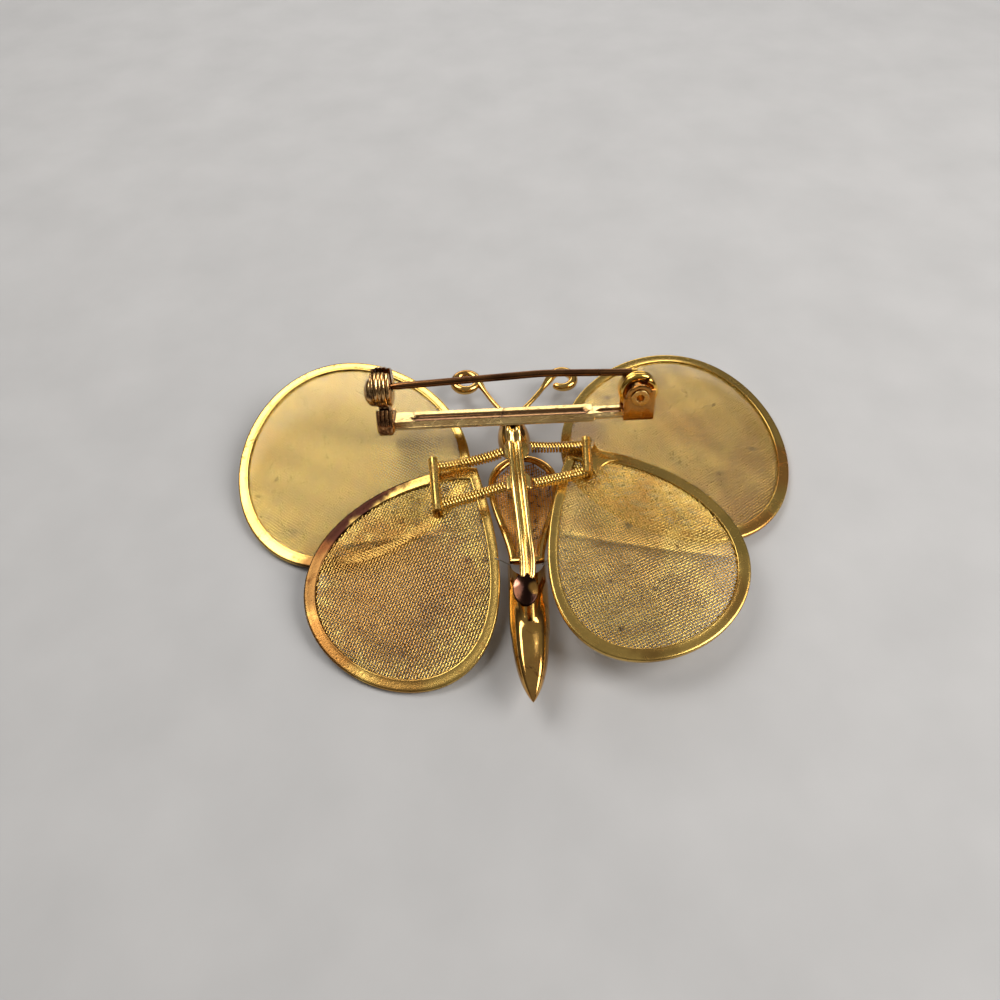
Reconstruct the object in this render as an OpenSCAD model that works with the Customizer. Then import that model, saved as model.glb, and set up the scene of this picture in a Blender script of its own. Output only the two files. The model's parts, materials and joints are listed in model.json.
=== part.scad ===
// A butterfly brooch lying face down: two pairs of gauze wings that tremble on coil springs,
// a gauze thorax, a sheet abdomen, a head with curled antennae, and a bar pin with a safety catch.
// Millimetres. +Z is up and is the back of the brooch, +Y is toward the head, +X is to the right.
// The origin is under the middle of the whole, on the surface that it lies on.

/* [Lower wings] */
// Length of a lower wing from its narrow end
lower_l = 23.4; // [21:0.1:25]
// Half width that the outline formula gives at most, before it is pinched
lower_b = 11.8; // [10:0.1:12.6]
// How sharply a lower wing's leading side narrows toward the body
lower_pinch_lead = 0.53; // [0.4:0.01:0.9]
// How sharply a lower wing's inner side narrows toward the body
lower_pinch_trail = 1.05; // [0.7:0.01:1.2]
// How far a lower wing leans to one side, as a share of its half width
lower_lean = -0.01; // [-0.1:0.01:0.1]

/* [Upper wings] */
// Length of an upper wing from its narrow end
upper_l = 25.9; // [23:0.1:27]
// Half width that the outline formula gives at most, before it is pinched
upper_b = 12.8; // [11:0.1:14]
// How sharply an upper wing's leading side narrows toward the body
upper_pinch_lead = 0.28; // [0.1:0.01:0.4]
// How sharply an upper wing's trailing side narrows toward the body
upper_pinch_trail = 0.07; // [0.02:0.01:0.3]
// How far an upper wing leans to one side, as a share of its half width
upper_lean = 0.1; // [0:0.01:0.2]

/* [Rims and gauze] */
// Width of a wing's rim band
rim_w = 1.1; // [0.9:0.05:1.3]
// Thickness of a wing's rim
rim_t = 0.6; // [0.5:0.05:0.7]
// Depth of the groove in the rim that holds the gauze
groove_d = 0.5; // [0.3:0.05:0.6]
// Thickness of the woven gauze
gauze_t = 0.2; // [0.14:0.01:0.24]
// Height of the soft creases that fan out across the gauze
crease_h = 0.16; // [0:0.02:0.24]
// Free space round the gauze in its groove
gauze_gap = 0.04; // [0.02:0.01:0.06]

/* [Springs] */
// Outer diameter of a coil spring
spring_d = 1.15; // [0.8:0.05:1.2]
// Diameter of the spring's wire
spring_wire = 0.24; // [0.18:0.01:0.26]
// Distance between two turns
spring_pitch = 0.3; // [0.28:0.01:0.4]

/* [Brackets] */
// Outer width of the bracket's channel
channel_w = 1; // [0.9:0.05:1.2]
// Outer height of the bracket's channel
channel_h = 1.5; // [1.45:0.05:1.7]
// Wall of the channel
channel_wall = 0.22; // [0.15:0.01:0.25]
// Width across the right bracket's star plate, from tip to tip
star_w = 4.6; // [4.2:0.1:4.8]
// Width across the left bracket's star plate, which is folded down and mostly hidden
small_star_w = 3; // [2.8:0.1:3.2]
// Thickness of the star plate
star_t = 0.36; // [0.3:0.02:0.4]

/* [Stem] */
// Width of the stem's strip
stem_w = 1.45; // [1.2:0.05:1.6]
// Thickness of the stem's strip
stem_t = 0.5; // [0.4:0.02:0.6]
// Depth of the groove between the stem's two ridges
stem_groove = 0.26; // [0.1:0.02:0.3]
// Length of the oval pad at the stem's foot
pad_l = 3.3; // [2.8:0.1:3.6]
// Width of the pad
pad_w = 2.3; // [2:0.1:2.6]
// Thickness of the anchor plate that carries the springs
anchor_t = 0.4; // [0.3:0.02:0.5]

/* [Pin bar] */
// Length of the wide part of the bar
bar_l = 20.6; // [19:0.1:21]
// Width of the bar
bar_w = 2.7; // [2.6:0.05:3]
// Thickness of the bar
bar_t = 0.5; // [0.4:0.05:0.6]
// How far the bar's back face leans toward the head, in degrees
bar_tilt = 14; // [12:0.5:16]
// Width of the groove along the bar
bar_groove_w = 0.95; // [0.6:0.05:1.1]
// Depth of the groove along the bar
bar_groove_d = 0.22; // [0.1:0.02:0.26]

/* [Hinge] */
// Length of an ear along the bar
ear_l = 3; // [2.6:0.1:3.2]
// Height of the hinge's axis above the bar's back face
hinge_h = 2.1; // [2.05:0.05:2.3]
// Metal above the ear's hole, from its centre
ear_top = 1.3; // [1.2:0.05:1.5]
// Thickness of an ear
ear_t = 0.4; // [0.3:0.05:0.5]
// Free width between the two ears
ear_gap = 2.2; // [2:0.05:2.3]
// Outer diameter of the hollow rivet
rivet_d = 1.24; // [1.1:0.02:1.3]
// Bore of the hollow rivet
rivet_bore = 0.8; // [0.6:0.02:0.9]

/* [Needle] */
// Diameter of the needle's wire
needle_d = 0.72; // [0.6:0.01:0.74]
// Radius of the needle's coil, to the middle of its wire
coil_r = 1.55; // [1.4:0.01:1.6]
// Turns in the needle's coil
coil_turns = 3; // [2:1:3]
// Length of the straight shaft that the wearer pushes through cloth
shaft_l = 13; // [12:0.1:13.5]
// Length of the tapered point
point_l = 2.4; // [1.5:0.1:2.6]

/* [Catch] */
// Outer diameter of the catch
catch_d = 3.95; // [3.7:0.05:4.1]
// Wall of the catch's fixed ring
catch_wall = 0.35; // [0.3:0.01:0.4]
// Length of the catch along the needle
catch_l = 1.9; // [1.8:0.05:2]
// Width of the slot that lets the needle in
catch_slot = 0.94; // [0.9:0.02:1]
// Height of the catch's middle above the bar's back face
catch_h = 3.7; // [3.6:0.05:3.8]

/* [Body] */
// Length of the thorax frame
thorax_l = 13.5; // [13:0.1:14]
// Width of the thorax frame at its tail end
thorax_end_w = 3.4; // [2.8:0.1:3.6]
// How far the sides of the thorax bulge past a plain taper
thorax_bulge = 4.9; // [4.2:0.1:5.2]
// Depth of the woven dome below the thorax frame
dome_h = 1.8; // [1.5:0.05:2]
// Length of the abdomen
abdomen_l = 13.9; // [13:0.1:14.5]
// Radius of the abdomen at its mouth
abdomen_r = 1.85; // [1.7:0.05:1.9]
// Thickness of the abdomen's sheet
abdomen_wall = 0.35; // [0.25:0.05:0.4]
// Length of the abdomen's opening to the back
abdomen_open = 7; // [6:0.1:7.4]
// Length of the head
head_l = 6.2; // [5.6:0.1:6.6]
// Greatest radius of the head
head_r = 1.44; // [1.4:0.02:1.6]

/* [Antennae] */
// Diameter of an antenna's wire
antenna_d = 0.56; // [0.45:0.02:0.6]
// Diameter of the wire where it curls
curl_d = 1; // [0.8:0.02:1.2]
// Radius of a curl, to the middle of its wire
curl_r = 1.3; // [1.1:0.05:1.4]

/* [Gaps] */
// Line left between two pieces that are crimped or soldered together
seam = 0.03; // [0.02:0.01:0.05]
// Running gap between two pieces that turn on each other
running = 0.04; // [0.03:0.01:0.06]

/* [Hidden] */

// Smoothness of round surfaces
$fn = 48;
// Small overshoot of a cut past the face that it opens
over = 0.5;

// Points round a wing's outline
outline_n = 72;
// Gauze meshes: rings from the middle out, and spokes round
gauze_rings = 5;
gauze_spokes = 44;
// The panel's middle as a share of the wing's length, and the ring where the rim's groove begins as a
// share of the ring inside the edge
gauze_middle = 0.56;
groove_ring = 0.99;
// Sides of a spring's wire and steps in one of its turns
wire_sides = 5;
turn_steps = 10;

// Each wing: side (-1 left, 1 right), narrow end x, y, z, heading, pitch and droop in degrees
UPPER_LEFT = [-1, -4.9, 11.85, 3.4, 152.6, 9.3, 6.8];
LOWER_LEFT = [-1, -3.8, 13.35, 4.29, -118.5, 10.2, 2.1];
UPPER_RIGHT = [1, 5.3, 12.1, 4.3, 27.6, 2.9, 9.9];
LOWER_RIGHT = [1, 5.5, 14.65, 5.0, -67.7, 4.1, 1.3];

// Each kind of wing: length, half width, pinch of its leading and trailing sides, lean, and how far
// the rim's inner corner draws back from the narrow end, in rim widths
UPPER = [upper_l, upper_b, upper_pinch_lead, upper_pinch_trail, upper_lean, 1];
LOWER = [lower_l, lower_b, lower_pinch_lead, lower_pinch_trail, lower_lean, 1.35];

// Each bracket: side, channel middle x, y, z, heading, roll of its plate, channel length,
// the star plate's place across and along the channel, and the star's width
BRACKET_LEFT = [-1, -7.8, 10.3, 5.55, 4.6, 62, 6.4, 0.3, 1.7, small_star_w];
BRACKET_RIGHT = [1, 7.1, 12.75, 5.8, -4.6, 3, 4.4, 0.9, 0.3, star_w];

// Each spot of solder between an upper and a lower wing's rim: x, y, and how far it starts above the
// upper wing's narrow end and ends below the lower wing's
SOLDER_LEFT = [-5.2, 12.8, 0.31, 0.3];
SOLDER_RIGHT = [5.5, 13.4, 0.2, 0.3];

// Each spring: side, y of its inner end, outer end x, y, z, and how far it sags at its middle
SPRING_UPPER_LEFT = [-1, 13.76, -7.85, 12.8, 5.55, 0.36];
SPRING_LOWER_LEFT = [-1, 9.5, -7.5, 8, 5.55, 0.12];
SPRING_UPPER_RIGHT = [1, 14.3, 7.15, 14.35, 5.8, 0.12];
SPRING_LOWER_RIGHT = [1, 9.7, 6.95, 11.1, 5.8, 0.12];
// Share of a spring's diameter by which its tilted first turn comes nearer the anchor
spring_lean = 0.1;

// The anchor plate's middle, and its reach along each side
ANCHOR_AT = [0.24, 11.85, 6.1];
anchor_w = 2.36;
anchor_l = 5.7;
// Width of the anchor's waist between its arms
anchor_waist = 1.1;
// Depth of the hollow in the anchor's lower end, and length of the tongue at its upper end
anchor_nick = 0.45;
anchor_tongue = 1.5;

// The middle of the bar's back face, how far the bar rolls and turns, and its middle along itself
BAR_AT = [0, 17.53, 7.54];
bar_roll = 0.9;
bar_turn = 1.25;
bar_mid = -2.1;
// The hinge's axis along the bar, and how far hinge and catch stand off the bar's middle line
hinge_at = 12.5;
hinge_side = 0.15;
// The neck between bar and ears, and the web under the ears
neck_w = 1.9;
neck_t = 0.45;
web_t = 0.3;
// The bar's groove stops short of the catch's end and of the hinge's end of the wide part
groove_from_catch = 2.65;
groove_from_hinge = 0.85;
// How far the catch's middle stands past the end of the bar
catch_past = 0.2;

// Free length between the thorax's tip and the head
head_gap = 0.17;
// The junction of thorax and abdomen in the middle of the thorax frame, and how the body turns
BODY_AT = [0.59, 3.05, 2.5];
BODY_TURN = [-2, 0, -1.5];
// The abdomen's axis below the thorax frame and its own rise toward the tip
abdomen_drop = 0.42;
abdomen_rise = 3;
thorax_band = 0.7;
thorax_t = 0.6;
// The dome's lowest point, as a share of the thorax's length from its tail end
dome_mid = 0.62;
// The head's middle of its tail end, past the thorax's tip, and how it turns
HEAD_AT = [0.36, BODY_AT[1] + thorax_l + head_gap, 1.9];
HEAD_TURN = [0, 0, 4];
// Each antenna: side, root x, root y from the head's tail end, curl middle x, y from its root, and how
// far the curl goes round in degrees
ANTENNAE = [
  [-1, -0.4, 5.48, -4.44, 5.56, 330],
  [1, 0.66, 5.48, 5.51, 5.25, 285],
];
antenna_z = 2.3;

// Turns a point about X, then Y, then Z, by degrees
function turned(p, a) =
  let (
    y1 = p[1] * cos(a[0]) - p[2] * sin(a[0]),
    z1 = p[1] * sin(a[0]) + p[2] * cos(a[0]),
    x2 = p[0] * cos(a[1]) + z1 * sin(a[1]),
    z2 = z1 * cos(a[1]) - p[0] * sin(a[1])
  )
  [x2 * cos(a[2]) - y1 * sin(a[2]), x2 * sin(a[2]) + y1 * cos(a[2]), z2];

function unit(v) = v / norm(v);
function reversed(v) = [for (i = [len(v) - 1 : -1 : 0]) v[i]];

// A wing's outline: a drop that is narrow at the origin and round at its far end. The inset draws
// every side in by that width and the narrow corner by a multiple of it
function drop(kind, inset = 0, n = outline_n) =
  let (
    l = kind[0],
    back = inset * kind[5],
    draw_l = (l - inset - back) / l,
    draw_b = 1 - inset / drop_half(kind)
  )
  [for (i = [0 : n - 1])
    let (t = 360 * i / n, p = drop_point(kind, t))
    [back + p[0] * draw_l, p[1] * draw_b]];

function drop_point(kind, t) =
  let (x = kind[0] * (1 - cos(t)) / 2, pinch = t > 180 ? kind[2] : kind[3])
  [x, kind[1] * (sin(t) * pow(sin(t / 2), pinch) + kind[4] * sin(180 * x / kind[0]))];

// Greatest half width of a kind of wing
function drop_half(kind) =
  max([for (t = [60 : 5 : 140]) kind[1] * sin(t) * pow(sin(t / 2), (kind[2] + kind[3]) / 2)]);

// A point of a wing's own frame, in the brooch's frame
function wing_point(wing, p) =
  [wing[1], wing[2], wing[3]]
  + turned(turned([p[0], -wing[0] * p[1], p[2]], [0, 0, wing[4]]), [wing[5], wing[0] * wing[6], 0]);

// The corners of the whole brooch, from the rims of the wings, the dome and the abdomen's tip
function rim_points(wing, kind) =
  [for (p = drop(kind), z = [-rim_t / 2, rim_t / 2]) wing_point(wing, [p[0], p[1], z])];
function body_point(p) = BODY_AT + turned(p, BODY_TURN);
function tip_point() = body_point([0, 0, -abdomen_drop] + turned([0, -abdomen_l, 0], [-abdomen_rise, 0, 0]));
function dome_point(y) = body_point([0, y, -thorax_t / 2 - seam - dome_h - gauze_t]);

WING_POINTS = concat(
  rim_points(UPPER_LEFT, UPPER), rim_points(UPPER_RIGHT, UPPER),
  rim_points(LOWER_LEFT, LOWER), rim_points(LOWER_RIGHT, LOWER)
);
min_x = min([for (p = WING_POINTS) p[0]]);
max_x = max([for (p = WING_POINTS) p[0]]);
min_y = min(tip_point()[1], min([for (p = WING_POINTS) p[1]]));
max_y = max([for (p = WING_POINTS) p[1]]);
min_z = min(dome_point(thorax_l * dome_mid)[2], min([for (p = WING_POINTS) p[2]]));
CENTRE = [(min_x + max_x) / 2, (min_y + max_y) / 2, min_z];

// A point of the bar's frame (along, across, above its back face) in the brooch's frame
BAR_TURN = [-bar_tilt, -bar_roll, -bar_turn];
function bar_point(p) = BAR_AT + turned(p, BAR_TURN);

module in_brooch() {
  translate(-CENTRE) children();
}

module in_wing(wing) {
  translate([wing[1], wing[2], wing[3]])
    rotate([wing[5], wing[0] * wing[6], 0])
      rotate([0, 0, wing[4]])
        if (wing[0] > 0) mirror([0, 1, 0]) children();
        else children();
}

module in_bar() {
  translate(BAR_AT) rotate(BAR_TURN) children();
}

module in_body() {
  translate(BODY_AT) rotate(BODY_TURN) children();
}

// A closed skin through equal rings of points, with flat ends
module skin(rings) {
  n = len(rings[0]);
  m = len(rings);
  polyhedron(
    points = [for (ring = rings, p = ring) p],
    faces = concat(
      [[for (j = [0 : n - 1]) j]],
      [for (i = [0 : m - 2], j = [0 : n - 1]) [i * n + j, (i + 1) * n + j, (i + 1) * n + (j + 1) % n]],
      [for (i = [0 : m - 2], j = [0 : n - 1]) [i * n + j, (i + 1) * n + (j + 1) % n, i * n + (j + 1) % n]],
      [[for (j = [n - 1 : -1 : 0]) (m - 1) * n + j]]
    )
  );
}

// A thin closed sheet whose upper face is a middle point and rings of points round it. The lower
// face lies straight below by the thickness
module sheet(middle, rings, thick) {
  n = len(rings[0]);
  m = len(rings);
  below = 1 + n * m;
  upper = concat([middle], [for (ring = rings, p = ring) p]);
  function at(i, j) = 1 + i * n + j % n;
  polyhedron(
    points = concat(upper, [for (p = upper) p - [0, 0, thick]]),
    faces = concat(
      [for (j = [0 : n - 1]) [0, at(0, j + 1), at(0, j)]],
      [for (i = [0 : m - 2], j = [0 : n - 1]) [at(i, j), at(i, j + 1), at(i + 1, j + 1)]],
      [for (i = [0 : m - 2], j = [0 : n - 1]) [at(i, j), at(i + 1, j + 1), at(i + 1, j)]],
      [for (j = [0 : n - 1]) [below, below + at(0, j), below + at(0, j + 1)]],
      [for (i = [0 : m - 2], j = [0 : n - 1])
        [below + at(i, j), below + at(i + 1, j + 1), below + at(i, j + 1)]],
      [for (i = [0 : m - 2], j = [0 : n - 1])
        [below + at(i, j), below + at(i + 1, j), below + at(i + 1, j + 1)]],
      [for (j = [0 : n - 1]) [at(m - 1, j), at(m - 1, j + 1), below + at(m - 1, j + 1)]],
      [for (j = [0 : n - 1]) [at(m - 1, j), below + at(m - 1, j + 1), below + at(m - 1, j)]]
    )
  );
}

// The rim of one wing: a flat band round the drop, grooved inside for the gauze
module rim(kind) {
  difference() {
    linear_extrude(rim_t, center = true) polygon(drop(kind));
    linear_extrude(rim_t + over, center = true) polygon(drop(kind, rim_w));
    linear_extrude(gauze_t + 2 * gauze_gap, center = true) polygon(drop(kind, rim_w - groove_d));
  }
}

// Height of the creases at a point of the wing: ridges that fan out from the narrow end
crease_count = 9;
function crease(kind, p) = crease_h * cos(crease_count * atan2(p[1], p[0])) * p[0] / kind[0];

// The woven panel of one wing, flat in its groove and softly creased inside it
module gauze(kind) {
  edge = reversed(drop(kind, rim_w - groove_d + gauze_gap, gauze_spokes));
  middle = [kind[0] * gauze_middle, 0];
  flat = 1 - 1 / gauze_rings;
  function raised(p, share) =
    [p[0], p[1], gauze_t / 2 + (share < flat ? crease(kind, p) * (1 - pow(share / flat, 4)) : 0)];
  sheet(
    raised(middle, 0),
    [for (i = [1 : gauze_rings]) let (share = ring_share(i))
      [for (p = edge) raised(middle + (p - middle) * share, share)]],
    gauze_t
  );
}
// The last ring is the panel's edge, and the one before it lies where the rim's groove begins
function ring_share(i) = i == gauze_rings ? 1 : i / gauze_rings * groove_ring;

// The channel's section: a tall oval tube that is open toward the body
module channel_section() {
  flat = channel_h - channel_w;
  inner = channel_w - 2 * channel_wall;
  difference() {
    union() {
      for (s = [-1, 1]) translate([0, s * flat / 2]) circle(d = channel_w);
      square([channel_w, flat], center = true);
    }
    for (s = [-1, 1]) translate([0, s * flat / 2]) circle(d = inner);
    square([inner, flat], center = true);
    translate([-channel_w / 2 - over, -spring_d / 2 - running])
      square([channel_w / 2 + over, spring_d + 2 * running]);
  }
}

// A four-pointed star with hollow sides
module star(w, hollow) {
  reach = w / 2;
  r = (reach * reach + pow(reach - hollow, 2)) / (2 * (reach - hollow));
  difference() {
    rotate(45) square(w / sqrt(2), center = true);
    for (a = [45 : 90 : 315]) rotate(a) translate([hollow / sqrt(2) + r, 0]) circle(r);
  }
}

// Channel and star plate of one bracket. The plate starts under the channel and rolls down
// toward the rims. The star's hollows are a share of its width
star_waist = 0.33;
module bracket(row) {
  translate([row[1], row[2], row[3]]) rotate([0, 0, row[4]]) {
    if (row[0] > 0) bracket_parts(row);
    else mirror([1, 0, 0]) bracket_parts(row);
  }
}

module bracket_parts(row) {
  rotate([90, 0, 0]) linear_extrude(row[6], center = true) channel_section();
  translate([0, 0, -channel_h / 2 + star_t / 2]) rotate([0, row[5], 0])
    translate([row[7], row[8], 0]) linear_extrude(star_t, center = true) star(row[9], row[9] * star_waist);
}

// The spot of solder that joins the lower wing's rim to the upper wing's rim under it
module solder_spot(at, upper, lower) {
  low = upper[3] + at[2];
  translate([at[0], at[1], low]) cylinder(d = rim_w, h = lower[3] - at[3] - low);
}

module wing_frame_left() {
  color("goldenrod") in_brooch() {
    in_wing(UPPER_LEFT) rim(UPPER);
    in_wing(LOWER_LEFT) rim(LOWER);
    solder_spot(SOLDER_LEFT, UPPER_LEFT, LOWER_LEFT);
    bracket(BRACKET_LEFT);
  }
}

module wing_frame_right() {
  color("goldenrod") in_brooch() {
    in_wing(UPPER_RIGHT) rim(UPPER);
    in_wing(LOWER_RIGHT) rim(LOWER);
    solder_spot(SOLDER_RIGHT, UPPER_RIGHT, LOWER_RIGHT);
    bracket(BRACKET_RIGHT);
  }
}

module gauze_upper_left() {
  color("khaki") in_brooch() in_wing(UPPER_LEFT) gauze(UPPER);
}

module gauze_lower_left() {
  color("khaki") in_brooch() in_wing(LOWER_LEFT) gauze(LOWER);
}

module gauze_upper_right() {
  color("khaki") in_brooch() in_wing(UPPER_RIGHT) gauze(UPPER);
}

module gauze_lower_right() {
  color("khaki") in_brooch() in_wing(LOWER_RIGHT) gauze(LOWER);
}

// A coil spring: five-sided wire carried along a helix between its two ends
module spring(row) {
  reach = anchor_w / 2 + seam + spring_wire / 2 + spring_lean * spring_d;
  inner = [ANCHOR_AT[0] + row[0] * reach, row[1], ANCHOR_AT[2]];
  outer = [row[2], row[3], row[4]];
  along = unit(outer - inner);
  side = unit(cross([0, 0, 1], along));
  up = cross(along, side);
  steps = round(norm(outer - inner) / spring_pitch) * turn_steps;
  radius = (spring_d - spring_wire) / 2;
  skin([for (i = [0 : steps])
    let (
      s = i / steps,
      a = 360 * i / turn_steps,
      out = side * cos(a) + up * sin(a),
      middle = inner + (outer - inner) * s - [0, 0, row[5] * 4 * s * (1 - s)]
    )
    [for (k = [0 : wire_sides - 1]) let (b = 360 * k / wire_sides)
      middle + out * (radius + spring_wire / 2 * cos(b)) - along * spring_wire / 2 * sin(b)]]);
}

module spring_upper_left() {
  color("gold") in_brooch() spring(SPRING_UPPER_LEFT);
}

module spring_lower_left() {
  color("gold") in_brooch() spring(SPRING_LOWER_LEFT);
}

module spring_upper_right() {
  color("gold") in_brooch() spring(SPRING_UPPER_RIGHT);
}

module spring_lower_right() {
  color("gold") in_brooch() spring(SPRING_LOWER_RIGHT);
}

// The stem's route, at the middle of the strip: under the bar, over the anchor and down to the pad.
// The first two points lie under the bar's lower face. It ends thinned out inside the pad
stem_under = -bar_t - seam - stem_t / 2;
// How far the strip is let into the anchor's plate
stem_in = 0.15;
pad_h = 4.24;
STEM_ROUTE = [
  bar_point([0.02, 1, stem_under]),
  bar_point([0.04, -bar_w / 2 - 0.2, stem_under]),
  [0.1, 14.2, ANCHOR_AT[2] + anchor_t / 2 + stem_t / 2 - stem_in],
  [0.22, 9.4, ANCHOR_AT[2] + anchor_t / 2 + stem_t / 2 - stem_in],
  [0.36, 6.6, 5.9],
  [0.48, 4, 5.35],
  [0.56, 2, 4.78],
  [0.5, 0.8, 4.42],
  [0.35, -0.3, pad_h],
];
stem_end_share = 0.4;

// The strip's section: two ridges with a groove between them
function stem_section(share) =
  let (w = stem_w / 2 * share, h = stem_t / 2 * share)
  [[-w, -h], [w, -h], [w, h * 0.3], [w * 0.55, h], [0, h - stem_groove * share], [-w * 0.55, h], [-w, h * 0.3]];

// The pad: an oval dish of two arcs, soldered over the narrow end of the abdomen's opening
pad_t = 0.4;
PAD_AT = [0.2, -0.75, pad_h];
pad_tip = 4;
module pad() {
  r = (pow(pad_l / 2, 2) + pow(pad_w / 2, 2)) / pad_w;
  linear_extrude(pad_t, center = true) intersection_for(s = [-1, 1]) {
    translate([s * (r - pad_w / 2), 0]) circle(r);
  }
}

// Half length of the anchor's hollow sides, as a share of its length, and the flat left beside its nick
anchor_hollow = 0.27;
anchor_flat = 0.3;
module anchor() {
  r = (pow(anchor_l * anchor_hollow, 2) + pow((anchor_w - anchor_waist) / 2, 2)) / (anchor_w - anchor_waist);
  end_r = (pow(anchor_w / 2 - anchor_flat, 2) + anchor_nick * anchor_nick) / (2 * anchor_nick);
  linear_extrude(anchor_t, center = true) difference() {
    square([anchor_w, anchor_l], center = true);
    for (s = [-1, 1]) {
      translate([s * (anchor_waist / 2 + r), 0]) circle(r);
    }
    translate([0, -anchor_l / 2 - end_r + anchor_nick]) circle(end_r);
  }
  linear_extrude(anchor_t, center = true) polygon([
    [-anchor_w / 2, anchor_l / 2 - anchor_t], [anchor_w / 2, anchor_l / 2 - anchor_t],
    [anchor_w / 2, anchor_l / 2], [anchor_waist / 2, anchor_l / 2 + anchor_tongue],
    [-anchor_waist / 2, anchor_l / 2 + anchor_tongue], [-anchor_w / 2, anchor_l / 2],
  ]);
}

module stem() {
  color("gold") in_brooch() {
    skin([for (i = [0 : len(STEM_ROUTE) - 1])
      [for (q = stem_section(i == len(STEM_ROUTE) - 1 ? stem_end_share : 1)) STEM_ROUTE[i] + [q[0], 0, q[1]]]]);
    translate(ANCHOR_AT) anchor();
    translate(PAD_AT) rotate([pad_tip, 0, 0]) pad();
  }
}

// Half width of the thorax at a share of its length from the tail end
function thorax_half(t, inset = 0) =
  let (u = (1 - cos(t)) / 2)
  thorax_end_w / 2 * (1 - u) + thorax_bulge * sin(t) * pow(sin(t / 2), 2) - inset * min(1, (180 - t) / tip_turn);
// Last part of the half turn over which an inset fades to nothing at the tip, in degrees
tip_turn = 30;
thorax_n = 20;
function thorax_side(inset) =
  [for (i = [0 : thorax_n]) let (t = 180 * i / thorax_n)
    [thorax_half(t, inset), inset + (thorax_l - 2 * inset) * (1 - cos(t)) / 2]];
function thorax_outline(inset) =
  let (right = thorax_side(inset))
  concat(right, [for (i = [thorax_n - 1 : -1 : 0]) [-right[i][0], right[i][1]]]);

module thorax_rim() {
  color("gold") in_brooch() in_body() difference() {
    linear_extrude(thorax_t, center = true) polygon(thorax_outline(0));
    linear_extrude(thorax_t + over, center = true) polygon(thorax_outline(thorax_band));
  }
}

// The woven dome hangs below the thorax frame with its edge under the frame's band
dome_rings = 5;
dome_fullness = 2.4;
edge_in = 4 * seam;
module thorax_gauze() {
  edge = thorax_outline(edge_in);
  middle = [0, thorax_l * dome_mid];
  top = -thorax_t / 2 - seam;
  color("khaki") in_brooch() in_body() sheet(
    [middle[0], middle[1], top - dome_h],
    [for (i = [1 : dome_rings]) let (share = i / dome_rings)
      [for (p = edge)
        let (q = middle + (p - middle) * share)
        [q[0], q[1], top - dome_h * sqrt(max(0, 1 - pow(share, dome_fullness)))]]],
    gauze_t
  );
}

// Radius of the abdomen at a distance from its mouth, for a sheet whose outer length and mouth
// radius are given
abdomen_fullness = 5;
abdomen_taper = 0.9;
function abdomen_half(y, l, r) = r * pow(max(0, 1 - pow(y / l, abdomen_fullness)), abdomen_taper);
abdomen_n = 22;
function abdomen_curve(l, r) =
  [for (i = [0 : abdomen_n]) let (y = l * sin(90 * i / abdomen_n)) [abdomen_half(y, l, r), y]];

// The opening narrows in a straight V from the mouth's width to the pit
pit_r = 0.35;
open_full = 2.6;
module abdomen_opening() {
  w = abdomen_r - abdomen_wall;
  linear_extrude(2 * abdomen_r) {
    polygon([[-w, over], [w, over], [w, -open_full], [pit_r, -abdomen_open], [-pit_r, -abdomen_open],
      [-w, -open_full]]);
    translate([0, -abdomen_open]) circle(pit_r);
  }
}

module abdomen() {
  inner_l = abdomen_l - 2 * abdomen_wall;
  color("gold") in_brooch() in_body()
    translate([0, -seam, -abdomen_drop]) rotate([-abdomen_rise, 0, 0]) difference() {
      rotate([90, 0, 0]) rotate_extrude() polygon(concat([[0, 0]], abdomen_curve(abdomen_l - seam, abdomen_r)));
      rotate([90, 0, 0]) rotate_extrude() polygon(concat(
        [[0, -over], [abdomen_r - abdomen_wall, -over]],
        abdomen_curve(inner_l, abdomen_r - abdomen_wall)
      ));
      abdomen_opening();
    }
}

// The head: a rounded drop, full toward the antennae, with a short neck at the thorax
neck_r = 0.9;
head_n = 18;
// The neck fades in over this share of the head's length, the head is fullest past its middle, and it
// is this much slimmer toward the thorax
neck_fade = 1 / 12;
head_full_at = 0.8;
head_round = 0.6;
head_slim = 0.28;
function head_half(u) =
  neck_r * (1 - u) * min(1, u / neck_fade)
  + head_r * pow(sin(180 * pow(u, head_full_at)), head_round) * (1 - head_slim * (1 - u));
module head_body() {
  translate(HEAD_AT) rotate(HEAD_TURN) rotate([-90, 0, 0]) rotate_extrude()
    polygon([for (i = [0 : head_n]) let (u = i / head_n) [max(0, head_half(u)), head_l * u]]);
}

// One antenna: a straight wire out of the head that meets its curl as a tangent
module antenna(row) {
  root = [row[1], HEAD_AT[1] + row[2]];
  curl = [row[3], row[4]];
  far = norm(curl);
  toward = atan2(curl[1], curl[0]);
  swing = asin(curl_r / far);
  leg = sqrt(far * far - curl_r * curl_r);
  heading = toward + row[0] * swing;
  translate([root[0], root[1], antenna_z]) rotate([0, 0, heading]) {
    rotate([0, 90, 0]) cylinder(d = antenna_d, h = leg);
    translate([leg, -row[0] * curl_r, 0]) rotate([0, 0, row[0] > 0 ? 90 - row[5] : -90])
      rotate_extrude(angle = row[5]) translate([curl_r, 0]) circle(d = curl_d);
    translate([leg, 0, 0]) sphere(d = curl_d);
  }
}

module head() {
  color("gold") in_brooch() {
    head_body();
    for (row = ANTENNAE) antenna(row);
  }
}

// The wide part of the bar, with the pointed groove along its back face
module bar_blank() {
  from = groove_from_catch - bar_l / 2;
  to = bar_l / 2 - groove_from_hinge;
  g = bar_groove_w / 2;
  translate([bar_mid, 0, 0]) difference() {
    translate([0, 0, -bar_t / 2]) cube([bar_l, bar_w, bar_t], center = true);
    translate([0, 0, -bar_groove_d]) linear_extrude(bar_groove_d + over)
      polygon([[from - g, 0], [from, -g], [to, -g], [to + g, 0], [to, g], [from, g]]);
  }
}

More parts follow.
